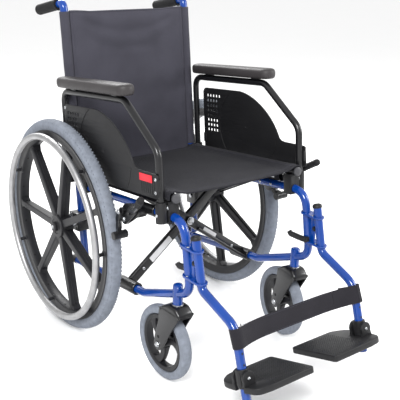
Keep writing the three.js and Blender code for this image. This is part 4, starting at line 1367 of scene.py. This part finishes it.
def back_sling():
    columns, steps = 46, 46
    reach = 187.5
    rows = []
    for i in range(steps + 1):
        height = BACK_LOW - 14 + (BACK_HIGH - BACK_LOW + 14) * i / steps
        row = []
        for k in range(columns + 1):
            x = -reach + 2 * reach * k / columns
            row.append(back_point(x, height, 9.5 - back_depth(x, height)))
        rows.append(row)
    sheet = cloth_grid("back_sling_cloth", rows)
    n = columns + 1
    held = [i * n + k for i in range(steps + 1) for k in (0, 1, 2, n - 3, n - 2, n - 1)]
    relaxed(sheet, held, 0.5, 4, 0.0005)
    points = [v.co.copy() for v in sheet.data.vertices]
    seams = [points[k::n] for k in (1, n - 2)]
    finished_cloth(sheet, 4.0, "back_fabric")
    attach(sheet, "right_side")
    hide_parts("back_sling")

    forward = -RAIL_WAY.normalized()
    hem = Form()
    roll = circle(3.0, 12)
    sweep(hem, points[-n:], roll)
    sweep(hem, points[:n], roll)
    hems = hem.piece("back_hems", "right_side", "back_fabric", angle=60)
    thread_form = Form()
    for line in seams:
        lifted = [p + forward * 2.1 * MM for p in line]
        stitches(thread_form, lifted, forward, 5.0, 3.4)
    thread = thread_form.piece("back_stitching", "right_side", "back_fabric", paint=THREAD)
    anchor = upright_at(500)
    anchor.x = -reach * MM
    for soft in (sheet, hems, thread):
        folded_share(reach)
        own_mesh(soft)
    sleeves = Form()
    path = [upright_at(BACK_LOW + (BACK_HIGH - BACK_LOW) * i / 30) for i in range(31)]
    wrinkles = [1 + 0.012 * math.sin(i * 1.7) + 0.01 * math.sin(i * 0.63 + 1) for i in range(31)]
    inward = -X_AXIS
    sleeve = ring_points(13.4, start=6, stop=354, sides=30) + ring_points(11.5, start=354, stop=6, sides=30)
    sweep(sleeves, path, sleeve, up=inward, sizes=wrinkles)
    flange = softened([(-4, -16), (0, -16), (2.6, -10), (2.6, 2), (-4, 2)], 1.5, 3)
    sweep(sleeves, [p + Vector((-4 * MM, 0, 0)) for p in path], [(-v, u) for u, v in flange], up=inward)
    made = sleeves.both("back_sleeve", "side", "back_fabric", angle=60)


def folded_share(half_spacing):
    """What is left of the space between the two sides when the chair is folded."""
    turn = math.radians(max(joint("fold")["range_deg"]))
    narrowed = 2 * FRAME_X - BAR_LENGTH * math.cos(BAR_ANGLE + turn)
    return (2 * half_spacing - narrowed) / (2 * half_spacing)


# ---------- calf strap ----------
STRAP_MIDDLE = (-664, 231)
STRAP_LEAN = math.radians(23.8)
STRAP_HALF = 23
STRAP_SPLIT = 129


def strap_section(thick=1.6):
    """Half the strap's height and `thick`, half its thickness, with round edges."""
    return softened(oblong(STRAP_HALF, thick), 1.2, 3)


def strap_point(x, out=0.0):
    """On the strap's middle line, `out` forward of it."""
    y, z = STRAP_MIDDLE
    return level(x, y - out * math.cos(STRAP_LEAN), z + out * math.sin(STRAP_LEAN))


def calf_strap():
    up = level(0, math.sin(STRAP_LEAN), math.cos(STRAP_LEAN)) - level(0, 0, 0)
    at_strap = leg_at(STRAP_MIDDLE[1])
    behind = at_strap[1] - STRAP_MIDDLE[0]
    pieces = {}
    for side, hand, stop in (("right", -1, STRAP_SPLIT - 1), ("left", 1, STRAP_SPLIT)):
        form = Form()
        r = TUBE + 2.4
        loop = []
        for i in range(15):
            t = math.radians(-100 + 200 * i / 14)
            x = hand * HINGE[0] + hand * r * math.cos(t) * 0.98
            out = -behind + r * math.sin(t)
            loop.append(strap_point(x, out))
        span = []
        for i in range(1, 25):
            x = hand * HINGE[0] + (stop - hand * HINGE[0]) * i / 24
            span.append(strap_point(x, strap_out(x, r - behind)))
        sweep(form, [*loop, *span], strap_section(), up=up)
        tail = [loop[0], strap_point(hand * (HINGE[0] - 14), -behind + 4)]
        tail.append(strap_point(hand * (HINGE[0] - 34), -2))
        sweep(form, tail, strap_section(1.0), up=up)
        name = "calf_strap_" + side
        pieces[side] = form.piece(name + "_band", f"{side}_legrest", "webbing", [name], angle=50)
    thread_form = Form()
    out = (strap_point(0, 1) - strap_point(0, 0)).normalized()
    for edge in (-1, 1):
        line = [strap_point(x, 2.1) + up * edge * (STRAP_HALF - 3) for x in range(-165, STRAP_SPLIT - 3, 6)]
        stitches(thread_form, line, out, 5, 3.4)
    thread = thread_form.piece("calf_strap_stitching", "right_legrest", "webbing", paint=THREAD)
    closed = STRAP_SPLIT + HINGE[0]
    share = (closed - 2 * FRAME_X * (1 - folded_share(FRAME_X))) / closed
    for soft in (pieces["right"], thread):
        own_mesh(soft)


def strap_out(x, front):
    """The strap leaves the front of each tube and runs back to its middle line."""
    away = (HINGE[0] - abs(x)) / 113
    return max(1 - away, 0) ** 2 * front


# ---------- stage ----------
CAMERA_TURNS = (-37.818, 19.739, 1.744)
CAMERA_AT = (-1150.5, -1763.9, 1080.4)
CAMERA_LENS = 66.3


def camera():
    """The camera that was fitted to the photo: its azimuth, elevation and roll, in degrees."""
    azimuth, elevation, roll = (math.radians(turn) for turn in CAMERA_TURNS)
    back = Vector((math.sin(azimuth) * math.cos(elevation), -math.cos(azimuth) * math.cos(elevation),
                   math.sin(elevation)))
    right = Vector((math.cos(azimuth), math.sin(azimuth), 0))
    up = back.cross(right)
    turned_right = right * math.cos(roll) + up * math.sin(roll)
    turned_up = up * math.cos(roll) - right * math.sin(roll)
    data = bpy.data.cameras.new("camera")
    data.sensor_width = 36
    data.lens = CAMERA_LENS
    made = bpy.data.objects.new("camera", data)
    turn = Matrix((turned_right, turned_up, back)).transposed().to_4x4()
    made.matrix_world = Matrix.Translation(level(*CAMERA_AT)) @ turn
    bpy.context.scene.collection.objects.link(made)
    bpy.context.scene.camera = made


def area_light(name, at, aim, size, power, colour=(1, 1, 1)):
    data = bpy.data.lights.new(name, "AREA")
    data.shape = "RECTANGLE"
    data.size, data.size_y = size
    data.energy = power
    data.color = colour
    made = bpy.data.objects.new(name, data)
    made.location = at
    made.rotation_mode = "QUATERNION"
    made.rotation_quaternion = (Vector(aim) - Vector(at)).to_track_quat("-Z", "Y")
    bpy.context.scene.collection.objects.link(made)


def studio():
    world = bpy.data.worlds.new("studio")
    world.use_nodes = True
    world.node_tree.nodes["Background"].inputs["Color"].default_value = (1, 1, 1, 1)
    world.node_tree.nodes["Background"].inputs["Strength"].default_value = 1.0
    bpy.context.scene.world = world
    area_light("key", (-2.2, -2.0, 2.8), (0, 0, 0.4), (1.2, 1.2), 150)
    area_light("fill", (2.6, -1.6, 1.8), (0, 0, 0.4), (1.0, 1.4), 60)
    area_light("rim", (0.6, 2.6, 2.4), (0, 0, 0.6), (2.0, 1.0), 90)
    floor_form = Form()
    reach = 12.0
    floor_form.add([Vector((x, y, -0.001)) for x, y in oblong(reach, reach)], [(0, 1, 2, 3)])
    floor = bpy.data.objects.new("floor", floor_form.mesh("floor"))
    bpy.context.scene.collection.objects.link(floor)
    p = Paint("floor", (0.93, 0.93, 0.93), 0.7)
    p.vary(p.noise(3), 0.995, 1.0)
    floor.data.materials.append(p.made)


bpy.context.scene.view_settings.view_transform = "Standard"
camera()
studio()
side_frames()
uprights()
side_fittings()
rear_wheels()
tyres()
casters()
armrests()
wheel_locks()
legrests()
cross_brace()
seat_sling()
back_sling()
calf_strap()

# what is left of the CAD model keeps its shape and takes its slot's material
SLOTS = {part["node"]: part["material_slot"] for part in frame["record"]["subparts"]}
for node, held in frame["nodes"].items():
    if not held.hide_render:
        held.data.materials.clear()
        held.data.materials.append(PAINTS[SLOTS[node]])

bpy.context.view_layer.update()
